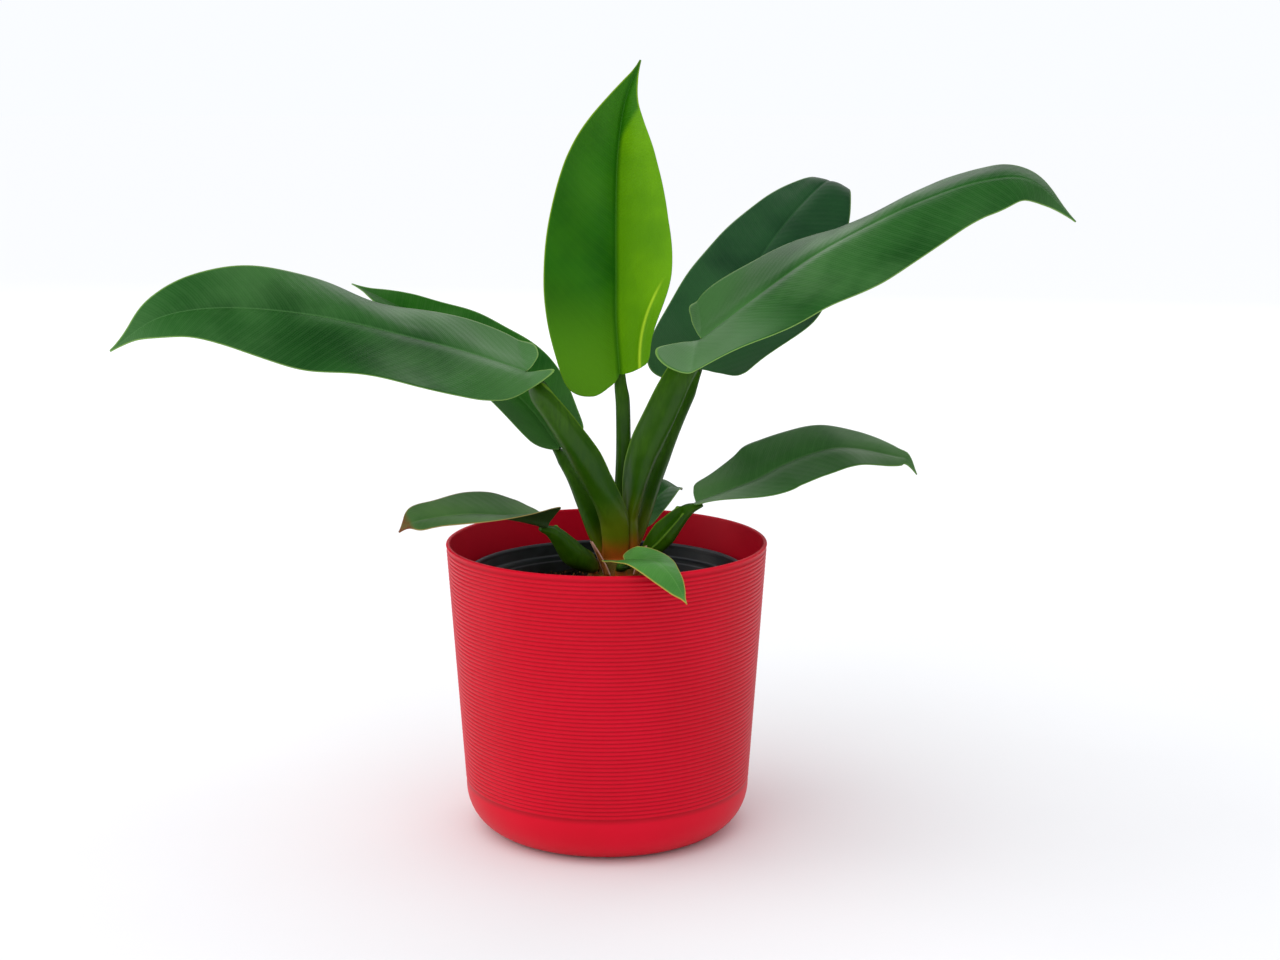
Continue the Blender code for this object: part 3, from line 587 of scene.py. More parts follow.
def cover_pot(finish):
    """The red pot: fine ribs between a plain rim band and a plain rounded foot."""
    inner_rim = POT_RIM_RADIUS - POT_WALL
    lip = POT_WALL / 2
    profile = [(0.0, POT_FLOOR)]
    profile += quarter(POT_BASE_RADIUS - lip, POT_SHOULDER_RADIUS - POT_WALL, POT_FLOOR,
                       POT_CORNER_HEIGHT, 10)
    for k in range(9):
        turn = math.pi * k / 8
        radius = inner_rim + lip * (1 - math.cos(turn))
        profile.append((radius, POT_HEIGHT - lip + lip * math.sin(turn)))
    pitch = (RIB_TOP - RIB_BOTTOM) / RIB_COUNT
    # Each outer point's depth in a groove, which the red finish turns into painted shade.
    groove = [0.0] * len(profile)
    for k in range(RIB_COUNT * RIB_POINTS + 1):
        height = RIB_TOP - k * pitch / RIB_POINTS
        sunk = 1 - math.sin(math.pi * (k % RIB_POINTS) / RIB_POINTS) ** 0.7
        profile.append((pot_outer_radius(height) - RIB_DEPTH * sunk, height))
        groove.append(sunk)
    profile += quarter(POT_BASE_RADIUS, POT_SHOULDER_RADIUS, 0.0, POT_CORNER_HEIGHT, 14)[::-1]
    profile.append((0.0, 0.0))
    groove += [0.0] * (len(profile) - len(groove))
    return turned_piece("ribbed_cover_pot", profile, POT_STEPS, finish, "outer_pot",
                        marks={"rib_groove_shade": groove})


def grow_pot_radius(height):
    """Outer radius of the grow pot's wall."""
    low = POT_FLOOR + GAP
    share = (height - low) / (GROW_TOP - low)
    return GROW_BASE_RADIUS + (GROW_MOUTH_RADIUS - GROW_BASE_RADIUS) * share


def grow_pot(finish):
    """The thin black pot, with two step lines below its lip and drain holes in its floor."""
    low = POT_FLOOR + GAP
    step = GROW_TOP - GROW_STEP_DROP
    wall = grow_pot_radius(step)
    step_up = [(-1.8, -2.2), (-1.5, -1.9), (-1.3, 0), (0.3, 0.5), (1.0, 0.8), (1.3, 1.2)]
    lip = [(2.9, 3.4), (2.5, 3.0), (2.3, 2.6), (2.1, 0.5), (1.7, 0.1), (1.2, 0), (0.5, 0.15),
           (0, 0.7), (0, GROW_LIP), (1.5, GROW_LIP)]
    profile = [(0.0, low + GROW_FLOOR), (GROW_BASE_RADIUS - GROW_WALL, low + GROW_FLOOR)]
    profile += [(wall + outward, step + up) for outward, up in step_up]
    profile += [(GROW_RIM_RADIUS - inward, GROW_TOP - down) for inward, down in lip]
    profile += [(wall + 2.4, step - 1.0), (wall, step - 3.0), (GROW_BASE_RADIUS, low + 1.0),
                (GROW_BASE_RADIUS - 1.0, low), (0.0, low)]
    pot = turned_piece("grow_pot", profile, POT_STEPS, finish, "nursery_pot")
    for k in range(DRAIN_COUNT):
        turn = 2 * math.pi * (k + 0.5) / DRAIN_COUNT
        x, y = DRAIN_CIRCLE * math.cos(turn), DRAIN_CIRCLE * math.sin(turn)
        bpy.ops.mesh.primitive_cylinder_add(vertices=24, radius=DRAIN_RADIUS * MM,
                                            depth=4 * GROW_FLOOR * MM,
                                            location=(x * MM, y * MM, low * MM))
        drill = bpy.context.object
        bpy.context.view_layer.objects.active = pot
        cut = pot.modifiers.new("drain", "BOOLEAN")
        cut.operation = "DIFFERENCE"
        cut.object = drill
        bpy.ops.object.modifier_apply(modifier=cut.name)
        bpy.data.objects.remove(drill, do_unlink=True)
    return pot


def crown_stem(finish):
    """The short thick stem: scar rings, a shoulder for the low stalks and a domed top."""
    profile = [(0.0, CROWN_TOP), (CROWN_NECK_RADIUS - 2.5, CROWN_TOP)]
    profile += [(CROWN_NECK_RADIUS - 0.8, CROWN_TOP - 0.5), (CROWN_NECK_RADIUS, CROWN_TOP - 1.4)]
    profile += [(CROWN_NECK_RADIUS, CROWN_SHOULDER + 0.6), (CROWN_NECK_RADIUS + 0.5, CROWN_SHOULDER)]
    profile += [(CROWN_RADIUS - 1.0, CROWN_SHOULDER), (CROWN_RADIUS - 0.2, CROWN_SHOULDER - 0.5)]
    for k in range(24):
        height = CROWN_SHOULDER - 1.0 - 0.75 * k
        dip = 0.5 * (1 + math.cos(2 * math.pi * 0.75 * k / SCAR_PITCH))
        profile.append((CROWN_RADIUS - 0.9 * dip ** 3, height))
    profile += [(CROWN_RADIUS - 2.0, CROWN_BOTTOM), (0.0, CROWN_BOTTOM)]
    return turned_piece("crown_stem", profile, 72, finish, "crown",
                        (CROWN_X, CROWN_Y))


def dry_scale(name, finish, seed):
    """A thin cupped papery scale with a ragged, curled tip."""
    degrees, outward, sideways, height = SCALES[name]
    angle = math.radians(degrees)
    radial = np.array([math.cos(angle), math.sin(angle), 0.0])
    tangent = np.array([-math.sin(angle), math.cos(angle), 0.0])
    foot = np.array([CROWN_X, CROWN_Y, CROWN_SHOULDER + GAP]) + radial * SCALE_SEAT_RADIUS
    rows, columns = 22, 12
    share = np.linspace(0, 1, rows)[:, None]
    across = np.linspace(-1, 1, columns)[None, :]
    half = SCALE_FOOT_HALF - 1.7 * share ** 1.2
    ragged = 0.6 * share * np.sin(7 * across + seed)
    middle = foot + np.array([0, 0, 1.0]) * (height * share + ragged)[..., None]
    cupped = outward * share ** 1.5 - 0.9 * across ** 2 * (1 - 0.5 * share)
    middle = middle + radial * cupped[..., None]
    middle = middle + tangent * (sideways * share + half * across)[..., None]
    back = middle - radial * SCALE_THICK
    faces = sheet_faces(rows, columns, flip=True)
    points = np.concatenate([middle.reshape(-1, 3), back.reshape(-1, 3)])
    rim_share = np.maximum(np.abs(across) + 0 * share, share + 0 * across).ravel()
    marks = {"scale_rim": np.concatenate([rim_share, rim_share])}
    return make_piece("dry_" + name, points, faces, finish, name, marks)


def soil_height(x, y):
    """Uneven soil surface, in millimetres."""
    x, y = x * MM, y * MM
    waves = (np.sin(95 * x + 1.3) * np.cos(110 * y - 0.4)
             + 0.6 * np.sin(230 * x - 190 * y + 2.0)
             + 0.4 * np.cos(310 * y + 160 * x))
    return SOIL_TOP + SOIL_BUMP * waves / 2


def ball_corners():
    """The twelve corners of a ball of twenty triangles."""
    golden = (1 + 5 ** 0.5) / 2
    corners = []
    for s in (-1, 1):
        for t in (-golden, golden):
            corners += [(0, s, t), (s, t, 0), (t, 0, s)]
    return np.array(corners, float)


def ball_faces(corners):
    """The ball's triangles: each three corners that lie an edge apart, facing out."""
    faces = []
    for three in itertools.combinations(range(12), 3):
        a, b, c = corners[list(three)]
        if max(np.linalg.norm(v) for v in (a - b, b - c, c - a)) < 2.1:
            outward = np.cross(b - a, c - a) @ a > 0
            faces.append(three if outward else (three[0], three[2], three[1]))
    return np.array(faces)


def crumb(rng, corners, middle, size):
    """One broken lump of soil or bark: a squashed, knocked-about ball."""
    lump = unit(corners) * rng.uniform(0.7, 1.15, (12, 1))
    lump = lump * rng.uniform(0.55, 1.25, 3)
    spin = rng.uniform(0, 2 * math.pi)
    turn = np.array([[math.cos(spin), -math.sin(spin), 0], [math.sin(spin), math.cos(spin), 0],
                     [0, 0, 1]])
    return lump @ turn.T * size + middle


def fibre(rng, hole, wall, number):
    """One thin bent fibre that lies on the soil, four-sided, in seven steps."""
    spin = rng.uniform(0, 2 * math.pi)
    reach = hole + 5 + (wall - hole - 14) * rng.uniform(0, 1) ** 0.6
    x, y = reach * math.cos(spin), reach * math.sin(spin)
    heading = rng.uniform(0, 2 * math.pi)
    length = rng.uniform(4, 11)
    bend = rng.uniform(-0.25, 0.25)
    run = []
    for step in range(FIBRE_STEPS):
        run.append((x, y, float(soil_height(x, y)) + 0.9 + 1.2 * math.sin(step * 0.9 + number)))
        x += length / 6 * math.cos(heading)
        y += length / 6 * math.sin(heading)
        heading += bend
    run = np.array(run)
    sides = unit(np.cross(np.gradient(run, axis=0), (0, 0, 1.0)))
    ups = np.cross(sides, unit(np.gradient(run, axis=0)))
    thick = rng.uniform(0.16, 0.34)
    return np.stack([run + sides * thick, run + ups * thick, run - sides * thick,
                     run - ups * thick], 1).reshape(-1, 3)


def soil_body(rng, hole, wall, clear):
    """Rings of the soil itself: the crown's hole, the rough surface and the plain plug below."""
    around, across = SOIL_MESH
    turn = 2 * math.pi * np.arange(around) / around
    share = np.linspace(0, 1, across)[:, None]
    radius = hole + (wall - hole) * share
    x = CROWN_X * (1 - share) + radius * np.cos(turn)
    y = CROWN_Y * (1 - share) + radius * np.sin(turn)
    rough = rng.normal(0, 0.35, x.shape) + 0.8 * np.sin(0.9 * x) * np.cos(0.8 * y + 0.3 * x)
    z = soil_height(x, y) + rough * np.minimum(1, 6 * (1 - share))

    def level(radius, height, shift):
        return np.stack([CROWN_X * shift + radius * np.cos(turn),
                         CROWN_Y * shift + radius * np.sin(turn), np.full(around, height)], -1)

    low = POT_FLOOR + GAP + GROW_FLOOR + GAP
    edge = SOIL_TOP - 4
    inner = [level(hole * 0.1, CROWN_BOTTOM - GAP, 1), level(hole, CROWN_BOTTOM - GAP, 1)]
    outer = [level(grow_pot_radius(edge) - clear, edge, 0), level(GROW_BASE_RADIUS - clear, low, 0),
             level(1.0, low, 0)]
    return np.concatenate([inner, np.stack([x, y, z], -1), outer])


def ring_caps(index):
    """The two faces that close a run of rings."""
    return [index[0, :-1].tolist(), index[-1, :-1].tolist()[::-1]]


def soil_plug(finish):
    """Soil that fills the grow pot, with crumbs and fibres strewn on it."""
    rng = np.random.default_rng(11)
    clear = GROW_WALL + 1.2 * GAP
    hole = CROWN_RADIUS + GAP
    wall = grow_pot_radius(SOIL_TOP) - clear
    body = soil_body(rng, hole, wall, clear)
    index = ring_grid(*body.shape[:2])
    faces = grid_quads(index) + ring_caps(index)
    points = [body.reshape(-1, 3)]
    tint = [np.full(len(points[0]), 0.25)]
    total = len(points[0])
    corners = ball_corners()
    ball = ball_faces(corners)
    for k in range(CRUMB_COUNT):
        spin = rng.uniform(0, 2 * math.pi)
        reach = hole + 1 + (wall - hole - 3) * rng.uniform(0, 1) ** 0.6
        x, y = reach * math.cos(spin), reach * math.sin(spin)
        if math.hypot(x - CROWN_X, y - CROWN_Y) < hole + 1.5:
            continue
        size = rng.choice(CRUMB_SIZES, p=CRUMB_SHARES)
        middle = np.array([x, y, soil_height(x, y) + 0.35 * size])
        points.append(crumb(rng, corners, middle, size))
        tint.append(np.full(12, rng.uniform(0, 1) ** 3))
        faces += (ball + total).tolist()
        total += 12
    for k in range(FIBRE_COUNT):
        points.append(fibre(rng, hole, wall, k))
        number = ring_grid(FIBRE_STEPS, 4, total)
        faces += grid_quads(number, flip=True) + [cap[::-1] for cap in ring_caps(number)]
        tint.append(np.full(len(points[-1]), rng.uniform(1.3, 2.0)))
        total += len(points[-1])
    marks = {"soil_tint": np.concatenate(tint)}
    piece = make_piece("potting_soil", np.concatenate(points), faces, finish, "soil", marks)
    piece.data.set_sharp_from_angle(angle=math.radians(50))
    return piece


# Shared finishes: each is a node group with named sockets, built once.

def add_node(tree, kind, **settings):
    """A new node with the given settings."""
    node = tree.nodes.new(kind)
    for key, value in settings.items():
        setattr(node, key, value)
    return node


def feed(tree, socket, source):
    """Join a socket to another, or set its plain value."""
    if isinstance(source, bpy.types.NodeSocket):
        tree.links.new(source, socket)
    else:
        socket.default_value = source


def calc(tree, operation, *values):
    """One step of arithmetic on one, two or three values."""
    node = add_node(tree, "ShaderNodeMath", operation=operation)
    for socket, value in zip(node.inputs, values):
        feed(tree, socket, value)
    return node.outputs[0]


def times(tree, first, second):
    """One value times another."""
    return calc(tree, "MULTIPLY", first, second)


def soft_step(tree, value, low, high):
    """0 below low, 1 above high, and a smooth rise between. Low may be above high."""
    node = add_node(tree, "ShaderNodeMapRange", interpolation_type="SMOOTHSTEP")
    feed(tree, node.inputs["Value"], value)
    feed(tree, node.inputs["From Min"], low)
    feed(tree, node.inputs["From Max"], high)
    return node.outputs["Result"]


def mix_colour(tree, share, first, second):
    """The first colour at a share of 0, the second at 1."""
    node = add_node(tree, "ShaderNodeMix", data_type="RGBA")
    feed(tree, node.inputs[0], share)
    feed(tree, node.inputs[6], first)
    feed(tree, node.inputs[7], second)
    return node.outputs[2]


def tinted(tree, colour, mask, strength, new):
    """A colour turned towards a new one where the mask is 1, by the given strength."""
    return mix_colour(tree, times(tree, mask, strength), colour, new)


def mix_value(tree, share, first, second):
    """The first value at a share of 0, the second at 1."""
    node = add_node(tree, "ShaderNodeMix", data_type="FLOAT")
    feed(tree, node.inputs[0], share)
    feed(tree, node.inputs[2], first)
    feed(tree, node.inputs[3], second)
    return node.outputs[0]


def mark_value(tree, name):
    """A value that the mesh carries at each of its points."""
    return add_node(tree, "ShaderNodeAttribute", attribute_name=name).outputs["Fac"]


def parts_of(tree, vector):
    """The three parts of a vector."""
    node = add_node(tree, "ShaderNodeSeparateXYZ")
    feed(tree, node.inputs[0], vector)
    return node.outputs


def mark_parts(tree, name):
    """The three parts of a place that the mesh carries at each of its points."""
    mark = add_node(tree, "ShaderNodeAttribute", attribute_name=name)
    return parts_of(tree, mark.outputs["Vector"])


def noise_at(tree, vector, scale, detail):
    """Cloudy noise between 0 and 1."""
    noise = add_node(tree, "ShaderNodeTexNoise")
    feed(tree, noise.inputs["Vector"], vector)
    feed(tree, noise.inputs["Scale"], scale)
    feed(tree, noise.inputs["Detail"], detail)
    return noise.outputs[0]


def new_group(name, inputs, outputs):
    """An empty node group with named sockets for values, and for vectors where the value given
    is one. Returns it with its two ends."""
    group = bpy.data.node_groups.new(name, "ShaderNodeTree")
    for label, value in inputs.items():
        kind = "NodeSocketVector" if isinstance(value, tuple) else "NodeSocketFloat"
        group.interface.new_socket(label, in_out="INPUT", socket_type=kind).default_value = value
    for label in outputs:
        group.interface.new_socket(label, in_out="OUTPUT", socket_type="NodeSocketFloat")
    ends = group.nodes.new("NodeGroupInput").outputs, group.nodes.new("NodeGroupOutput").inputs
    return group, *ends


def use_group(tree, group, **values):
    """Place a shared group in a material, with its own values. Underscores stand for spaces."""
    node = add_node(tree, "ShaderNodeGroup", node_tree=group)
    for label, value in values.items():
        feed(tree, node.inputs[label.replace("_", " ")], value)
    return node.outputs


def mottle_group():
    """Soft cloudy patches at a given size."""
    group, given, out = new_group(
        "mottle", {"Scale": 40.0, "Low": 0.35, "High": 0.65, "Shift": 0.0}, ["Mask"])
    place = add_node(group, "ShaderNodeTexCoord").outputs["Object"]
    moved = add_node(group, "ShaderNodeVectorMath", operation="ADD")
    feed(group, moved.inputs[0], place)
    feed(group, moved.inputs[1], given["Shift"])
    noise = noise_at(group, moved.outputs[0], given["Scale"], 4.0)
    feed(group, out["Mask"], soft_step(group, noise, given["Low"], given["High"]))
    return group


def side_vein_group():
    """Lines of the side veins on a blade, from each point's place on it."""
    group, given, out = new_group(
        "side_veins", {"Pitch": VEIN_PITCH, "Width": 0.2, "Waver": 0.25}, ["Mask"])
    place = add_node(group, "ShaderNodeAttribute", attribute_name="leaf_place").outputs["Vector"]
    parts = parts_of(group, place)
    outward = calc(group, "ABSOLUTE", parts[1])
    slope = times(group, outward, VEIN_SLOPE)
    sweep = times(group, times(group, outward, outward), VEIN_SWEEP)
    line = calc(group, "SUBTRACT", calc(group, "SUBTRACT", parts[0], slope), sweep)
    waver = times(group, noise_at(group, place, 0.12, 2.0), given["Waver"])
    turns = calc(group, "ADD", calc(group, "DIVIDE", line, given["Pitch"]), waver)
    gap = calc(group, "PINGPONG", turns, 0.5)
    feed(group, out["Mask"], soft_step(group, gap, given["Width"], 0.0))
    return group


def leaf_line_group():
    """Masks for the midrib and the edge of a blade, both of a given width in millimetres."""
    group, given, out = new_group(
        "midrib_and_edge", {"Midrib width": 1.6, "Edge width": 1.2}, ["Midrib", "Edge"])
    parts = mark_parts(group, "leaf_place")
    narrowing = calc(group, "SUBTRACT", 1.15, mark_value(group, "leaf_share"))
    width = times(group, given["Midrib width"], narrowing)
    midrib = soft_step(group, calc(group, "ABSOLUTE", parts[1]), width, 0.0)
    feed(group, out["Midrib"], midrib)
    feed(group, out["Edge"], soft_step(group, parts[2], given["Edge width"], 0.0))
    return group


def fine_grain_group():
    """Fine grain, drawn out where the stretch is small, as a height or a tint."""
    group, given, out = new_group(
        "fine_grain", {"Scale": 900.0, "Stretch": (1.0, 1.0, 1.0)}, ["Height"])
    place = add_node(group, "ShaderNodeTexCoord").outputs["Object"]
    drawn = add_node(group, "ShaderNodeVectorMath", operation="MULTIPLY")
    feed(group, drawn.inputs[0], place)
    feed(group, drawn.inputs[1], given["Stretch"])
    feed(group, out["Height"], noise_at(group, drawn.outputs[0], given["Scale"], 3.0))
    return group


def height_band_group():
    """Mask of a level band between two heights in metres, with soft edges."""
    group, given, out = new_group(
        "height_band", {"Bottom": 0.0, "Top": 0.1, "Soft": 0.002}, ["Mask"])
    height = parts_of(group, add_node(group, "ShaderNodeTexCoord").outputs["Object"])[2]
    low = calc(group, "SUBTRACT", given["Bottom"], given["Soft"])
    high = calc(group, "ADD", given["Top"], given["Soft"])
    rise = soft_step(group, height, low, given["Bottom"])
    fall = soft_step(group, height, high, given["Top"])
    feed(group, out["Mask"], times(group, rise, fall))
    return group


MOTTLE = mottle_group()
SIDE_VEINS = side_vein_group()
LEAF_LINES = leaf_line_group()
FINE_GRAIN = fine_grain_group()
HEIGHT_BAND = height_band_group()


def patches(tree, scale, low, high, shift=0.0):
    """Soft cloudy patches, as a mask."""
    return use_group(tree, MOTTLE, Scale=scale, Low=low, High=high, Shift=shift)["Mask"]


def fine_grain(tree, scale, upright=1.0):
    """Fine grain, drawn out upwards where upright is below 1."""
    return use_group(tree, FINE_GRAIN, Scale=scale, Stretch=(1.0, 1.0, upright))["Height"]


def height_band(tree, bottom, top, soft):
    """A level band between two heights in metres, as a mask."""
    return use_group(tree, HEIGHT_BAND, Bottom=bottom, Top=top, Soft=soft)["Mask"]


def new_finish(name, roughness, specular=0.5):
    """A material with its Principled shader."""
    finish = bpy.data.materials.new(name)
    finish.use_nodes = True
    shader = finish.node_tree.nodes["Principled BSDF"]
    shader.inputs["Roughness"].default_value = roughness
    shader.inputs["Specular IOR Level"].default_value = specular
    return finish, finish.node_tree, shader


def dress(tree, shader, colour, roughness, relief, depth, strength=1.0):
    """Give a material its colour, its roughness and its fine relief, with a depth in metres."""
    feed(tree, shader.inputs["Base Color"], colour)
    feed(tree, shader.inputs["Roughness"], roughness)
    bump = add_node(tree, "ShaderNodeBump")
    bump.inputs["Strength"].default_value = strength
    bump.inputs["Distance"].default_value = depth
    feed(tree, bump.inputs["Height"], relief)
    feed(tree, shader.inputs["Normal"], bump.outputs["Normal"])


def rgb(red, green, blue):
    """A colour read off the photo, 0 to 255, as the shader's own light values."""
    def light(value):
        value = value / 255
        return value / 12.92 if value <= 0.04045 else ((value + 0.055) / 1.055) ** 2.4
    return (light(red), light(green), light(blue), 1.0)


# Colours of the leaves, read off the photo: the deep and the bright green, the veins and the painted
# sheen, the edge and the underside, then how rough the blade is and how strongly it shines.
LEAF_GREENS = {
    "leaf_green": ((10, 68, 10), (34, 92, 28), (90, 138, 78), (136, 176, 84), (58, 104, 48),
                   0.34, 0.3),
    "leaf_dark_green": ((14, 58, 28), (26, 74, 36), (56, 102, 56), (118, 160, 76), (44, 92, 36),
                        0.36, 0.3),
    "leaf_deep_green": ((4, 72, 0), (34, 98, 6), (74, 120, 58), (118, 160, 76), (70, 108, 66),
                        0.5, 0.12),
    "leaf_low_green": ((34, 84, 26), (52, 100, 42), (92, 132, 76), (112, 150, 72), (50, 92, 40),
                       0.38, 0.3),
    "leaf_yellow_edged": ((48, 112, 36), (72, 136, 54), (98, 154, 72), (196, 172, 74),
                          (40, 84, 16), 0.36, 0.3),
    "leaf_browned_tip": ((50, 92, 38), (74, 118, 56), (108, 144, 82), (176, 150, 84), (26, 46, 4),
                         0.4, 0.3),
    "leaf_young_green": ((14, 84, 0), (28, 104, 0), (74, 140, 6), (150, 186, 40), (84, 140, 22),
                         0.45, 0.18),
}
LEAF_LOOKS = {"centre": "leaf_young_green", "right_back": "leaf_dark_green",
              "left_back": "leaf_deep_green", "low_right": "leaf_low_green",
              "low_left": "leaf_browned_tip", "small_front": "leaf_yellow_edged"}


def leaf_finish(name):
    """Leathery blade: cloudy green with painted sheen in soft patches and near the base and tip,
    faint side veins, paler midrib and edge, duller underside.
    Returns it with its tree, shader and colour, for leaves that have more to add."""
    *tones, gloss, shine = LEAF_GREENS[name]
    deep, bright, vein, edge, under = [rgb(*tone) for tone in tones]
    finish, tree, shader = new_finish(name, gloss, shine)
    lines = use_group(tree, LEAF_LINES, Midrib_width=1.6, Edge_width=0.8)
    clouds = patches(tree, 22.0, 0.3, 0.72)
    colour = mix_colour(tree, clouds, deep, bright)
    # Painted sheen: paler green in soft patches, near the base and near the tip, in the veins' tone.
    sheen_patches = patches(tree, 11.0, 0.42, 0.66, 7.0)
    share = mark_value(tree, "leaf_share")
    near = times(tree, soft_step(tree, share, 0.34, -0.05), 0.65)
    far = times(tree, soft_step(tree, share, 0.8, 1.0), 0.4)
    pale = calc(tree, "MAXIMUM", near, far)
    pale = calc(tree, "MAXIMUM", times(tree, sheen_patches, 0.42), pale)
    colour = mix_colour(tree, pale, colour, vein)
    fine = use_group(tree, SIDE_VEINS, Pitch=1.55, Width=0.42, Waver=0.9)["Mask"]
    main = use_group(tree, SIDE_VEINS, Pitch=VEIN_PITCH, Width=0.14, Waver=0.0)["Mask"]
    colour = tinted(tree, colour, fine, 0.09, vein)
    colour = tinted(tree, colour, main, 0.09, vein)
    colour = tinted(tree, colour, lines["Midrib"], 0.4, vein)
    below = mark_value(tree, "leaf_under")
    colour = tinted(tree, colour, below, 0.85, under)
    colour = tinted(tree, colour, lines["Edge"], 0.8, edge)
    dull = mix_value(tree, sheen_patches, gloss + 0.08, gloss - 0.04)
    grain = fine_grain(tree, 1400.0)
    relief = calc(tree, "ADD", times(tree, fine, 0.35), times(tree, grain, 0.3))
    dress(tree, shader, colour, mix_value(tree, below, dull, gloss + 0.15), relief, 0.00012)
    return finish, tree, shader, colour


def young_leaf_finish():
    """The newest leaf: painted light through its right half, yellow-green up to a slanting line
    below the tip, and painted shade along its midrib.
    """
    finish, tree, shader, colour = leaf_finish("leaf_young_green")
    out = mark_parts(tree, "leaf_place")[1]
    share = mark_value(tree, "leaf_share")
    # Painted light: the right half shown lit through from behind, below a slanting line.
    right = soft_step(tree, out, 1.5, -1.5)
    slant = calc(tree, "MULTIPLY_ADD", out, 0.0125, share)
    painted_backlight_mask = times(tree, right, soft_step(tree, slant, 0.76, 0.7))
    clouds = patches(tree, 30.0, 0.3, 0.75, 3.0)
    painted_backlight_green = mix_colour(tree, clouds, rgb(92, 152, 0), rgb(116, 176, 0))
    colour = tinted(tree, colour, painted_backlight_mask, 0.9, painted_backlight_green)
    base = times(tree, soft_step(tree, share, 0.36, -0.02), 0.75)
    colour = mix_colour(tree, base, colour, rgb(88, 146, 0))
    squared = times(tree, share, share)
    spread = calc(tree, "MULTIPLY_ADD", squared, CREASE_SPREAD, CREASE_START)
    off = calc(tree, "ABSOLUTE", calc(tree, "ADD", out, spread))
    fading = soft_step(tree, share, CREASE_END, CREASE_END - CREASE_FADE)
    crease = times(tree, soft_step(tree, off, 1.8, 0.0), fading)
    colour = tinted(tree, colour, crease, 0.75, rgb(186, 222, 48))
    # Painted shade: darker green in the shallow valley along the midrib.
    valley = soft_step(tree, calc(tree, "ABSOLUTE", out), 3.2, 0.4)
    colour = tinted(tree, colour, valley, 0.6, rgb(22, 92, 0))
    feed(tree, shader.inputs["Base Color"], colour)
    return finish


def browned_leaf_finish():
    """A low leaf with a brown tip and an orange-brown edge."""
    finish, tree, shader, colour = leaf_finish("leaf_browned_tip")
    share = mark_value(tree, "leaf_share")
    spot = patches(tree, 130.0, 0.38, 0.55)
    tip = times(tree, soft_step(tree, share, 0.89, 0.94), mix_value(tree, spot, 0.6, 1.0))
    colour = mix_colour(tree, tip, colour, rgb(122, 66, 34))
    feed(tree, shader.inputs["Base Color"], colour)
    return finish


def stalk_finish():
    """Smooth stalk: yellow-brown at the foot, olive to green above, pale along its wings.
    It is duller where it is seen edge-on."""
    finish, tree, shader = new_finish("stalk_green", 0.38, 0.24)
    share = mark_value(tree, "stalk_share")
    clouds = patches(tree, 55.0, 0.3, 0.7)
    drawn = fine_grain(tree, 520.0, 0.12)
    green = mix_colour(tree, clouds, rgb(34, 76, 0), rgb(54, 96, 2))
    green = mix_colour(tree, soft_step(tree, drawn, 0.35, 0.75), green, rgb(42, 82, 0))
    foot = mix_colour(tree, clouds, rgb(182, 84, 24), rgb(128, 84, 10))
    olive = mix_colour(tree, soft_step(tree, share, 0.02, 0.13), foot, rgb(96, 112, 6))
    colour = mix_colour(tree, soft_step(tree, share, 0.1, 0.32), olive, green)
    wing = times(tree, soft_step(tree, mark_value(tree, "stalk_wing"), 0.55, 1.0), 0.75)
    colour = mix_colour(tree, wing, colour, rgb(108, 148, 36))
    facing = add_node(tree, "ShaderNodeLayerWeight").outputs["Facing"]
    dull = mix_value(tree, clouds, 0.34, 0.46)
    dull = mix_value(tree, soft_step(tree, facing, 0.5, 0.85), dull, 0.9)
    dress(tree, shader, colour, dull, drawn, 0.00015, 0.5)
    return finish


def crown_finish():
    """Yellow-brown stem, darker in its scars and down in the soil."""
    finish, tree, shader = new_finish("crown_bark", 0.6, 0.3)
    clouds = patches(tree, 120.0, 0.32, 0.68)
    colour = mix_colour(tree, clouds, rgb(146, 92, 30), rgb(98, 84, 22))
    grain = fine_grain(tree, 700.0, 2.5)
    colour = mix_colour(tree, soft_step(tree, grain, 0.5, 0.75), colour, rgb(74, 40, 14))
    buried = height_band(tree, 0.1, 0.139, 0.006)
    colour = tinted(tree, colour, buried, 0.75, rgb(42, 28, 16))
    dress(tree, shader, colour, mix_value(tree, clouds, 0.5, 0.7), grain, 0.0005, 0.8)
    return finish


def scale_finish():
    """Dry papery scale, pinkish brown with darker lines along it."""
    finish, tree, shader = new_finish("dry_paper", 0.75, 0.2)
    lines = fine_grain(tree, 900.0, 0.15)
    colour = mix_colour(tree, soft_step(tree, lines, 0.35, 0.7), rgb(168, 100, 44), rgb(122, 66, 26))
    rim = mark_value(tree, "scale_rim")
    colour = mix_colour(tree, soft_step(tree, rim, 0.62, 0.95), colour, rgb(222, 172, 150))
    dress(tree, shader, colour, mix_value(tree, lines, 0.65, 0.85), lines, 0.0003, 0.8)
    return finish


def soil_finish():
    """Dark damp soil; each crumb and fibre has its own tint."""
    finish, tree, shader = new_finish("peat_and_bark", 0.9, 0.15)
    tint = mark_value(tree, "soil_tint")
    clouds = patches(tree, 300.0, 0.3, 0.7)
    peat = mix_colour(tree, clouds, rgb(20, 13, 11), rgb(44, 29, 20))
    peat = mix_colour(tree, soft_step(tree, tint, 0.3, 1.0), peat, rgb(104, 66, 38))
    colour = mix_colour(tree, soft_step(tree, tint, 1.1, 1.9), peat, rgb(188, 122, 66))
    grain = fine_grain(tree, 1500.0)
    dress(tree, shader, colour, mix_value(tree, clouds, 0.8, 0.98), grain, 0.0006)
    return finish


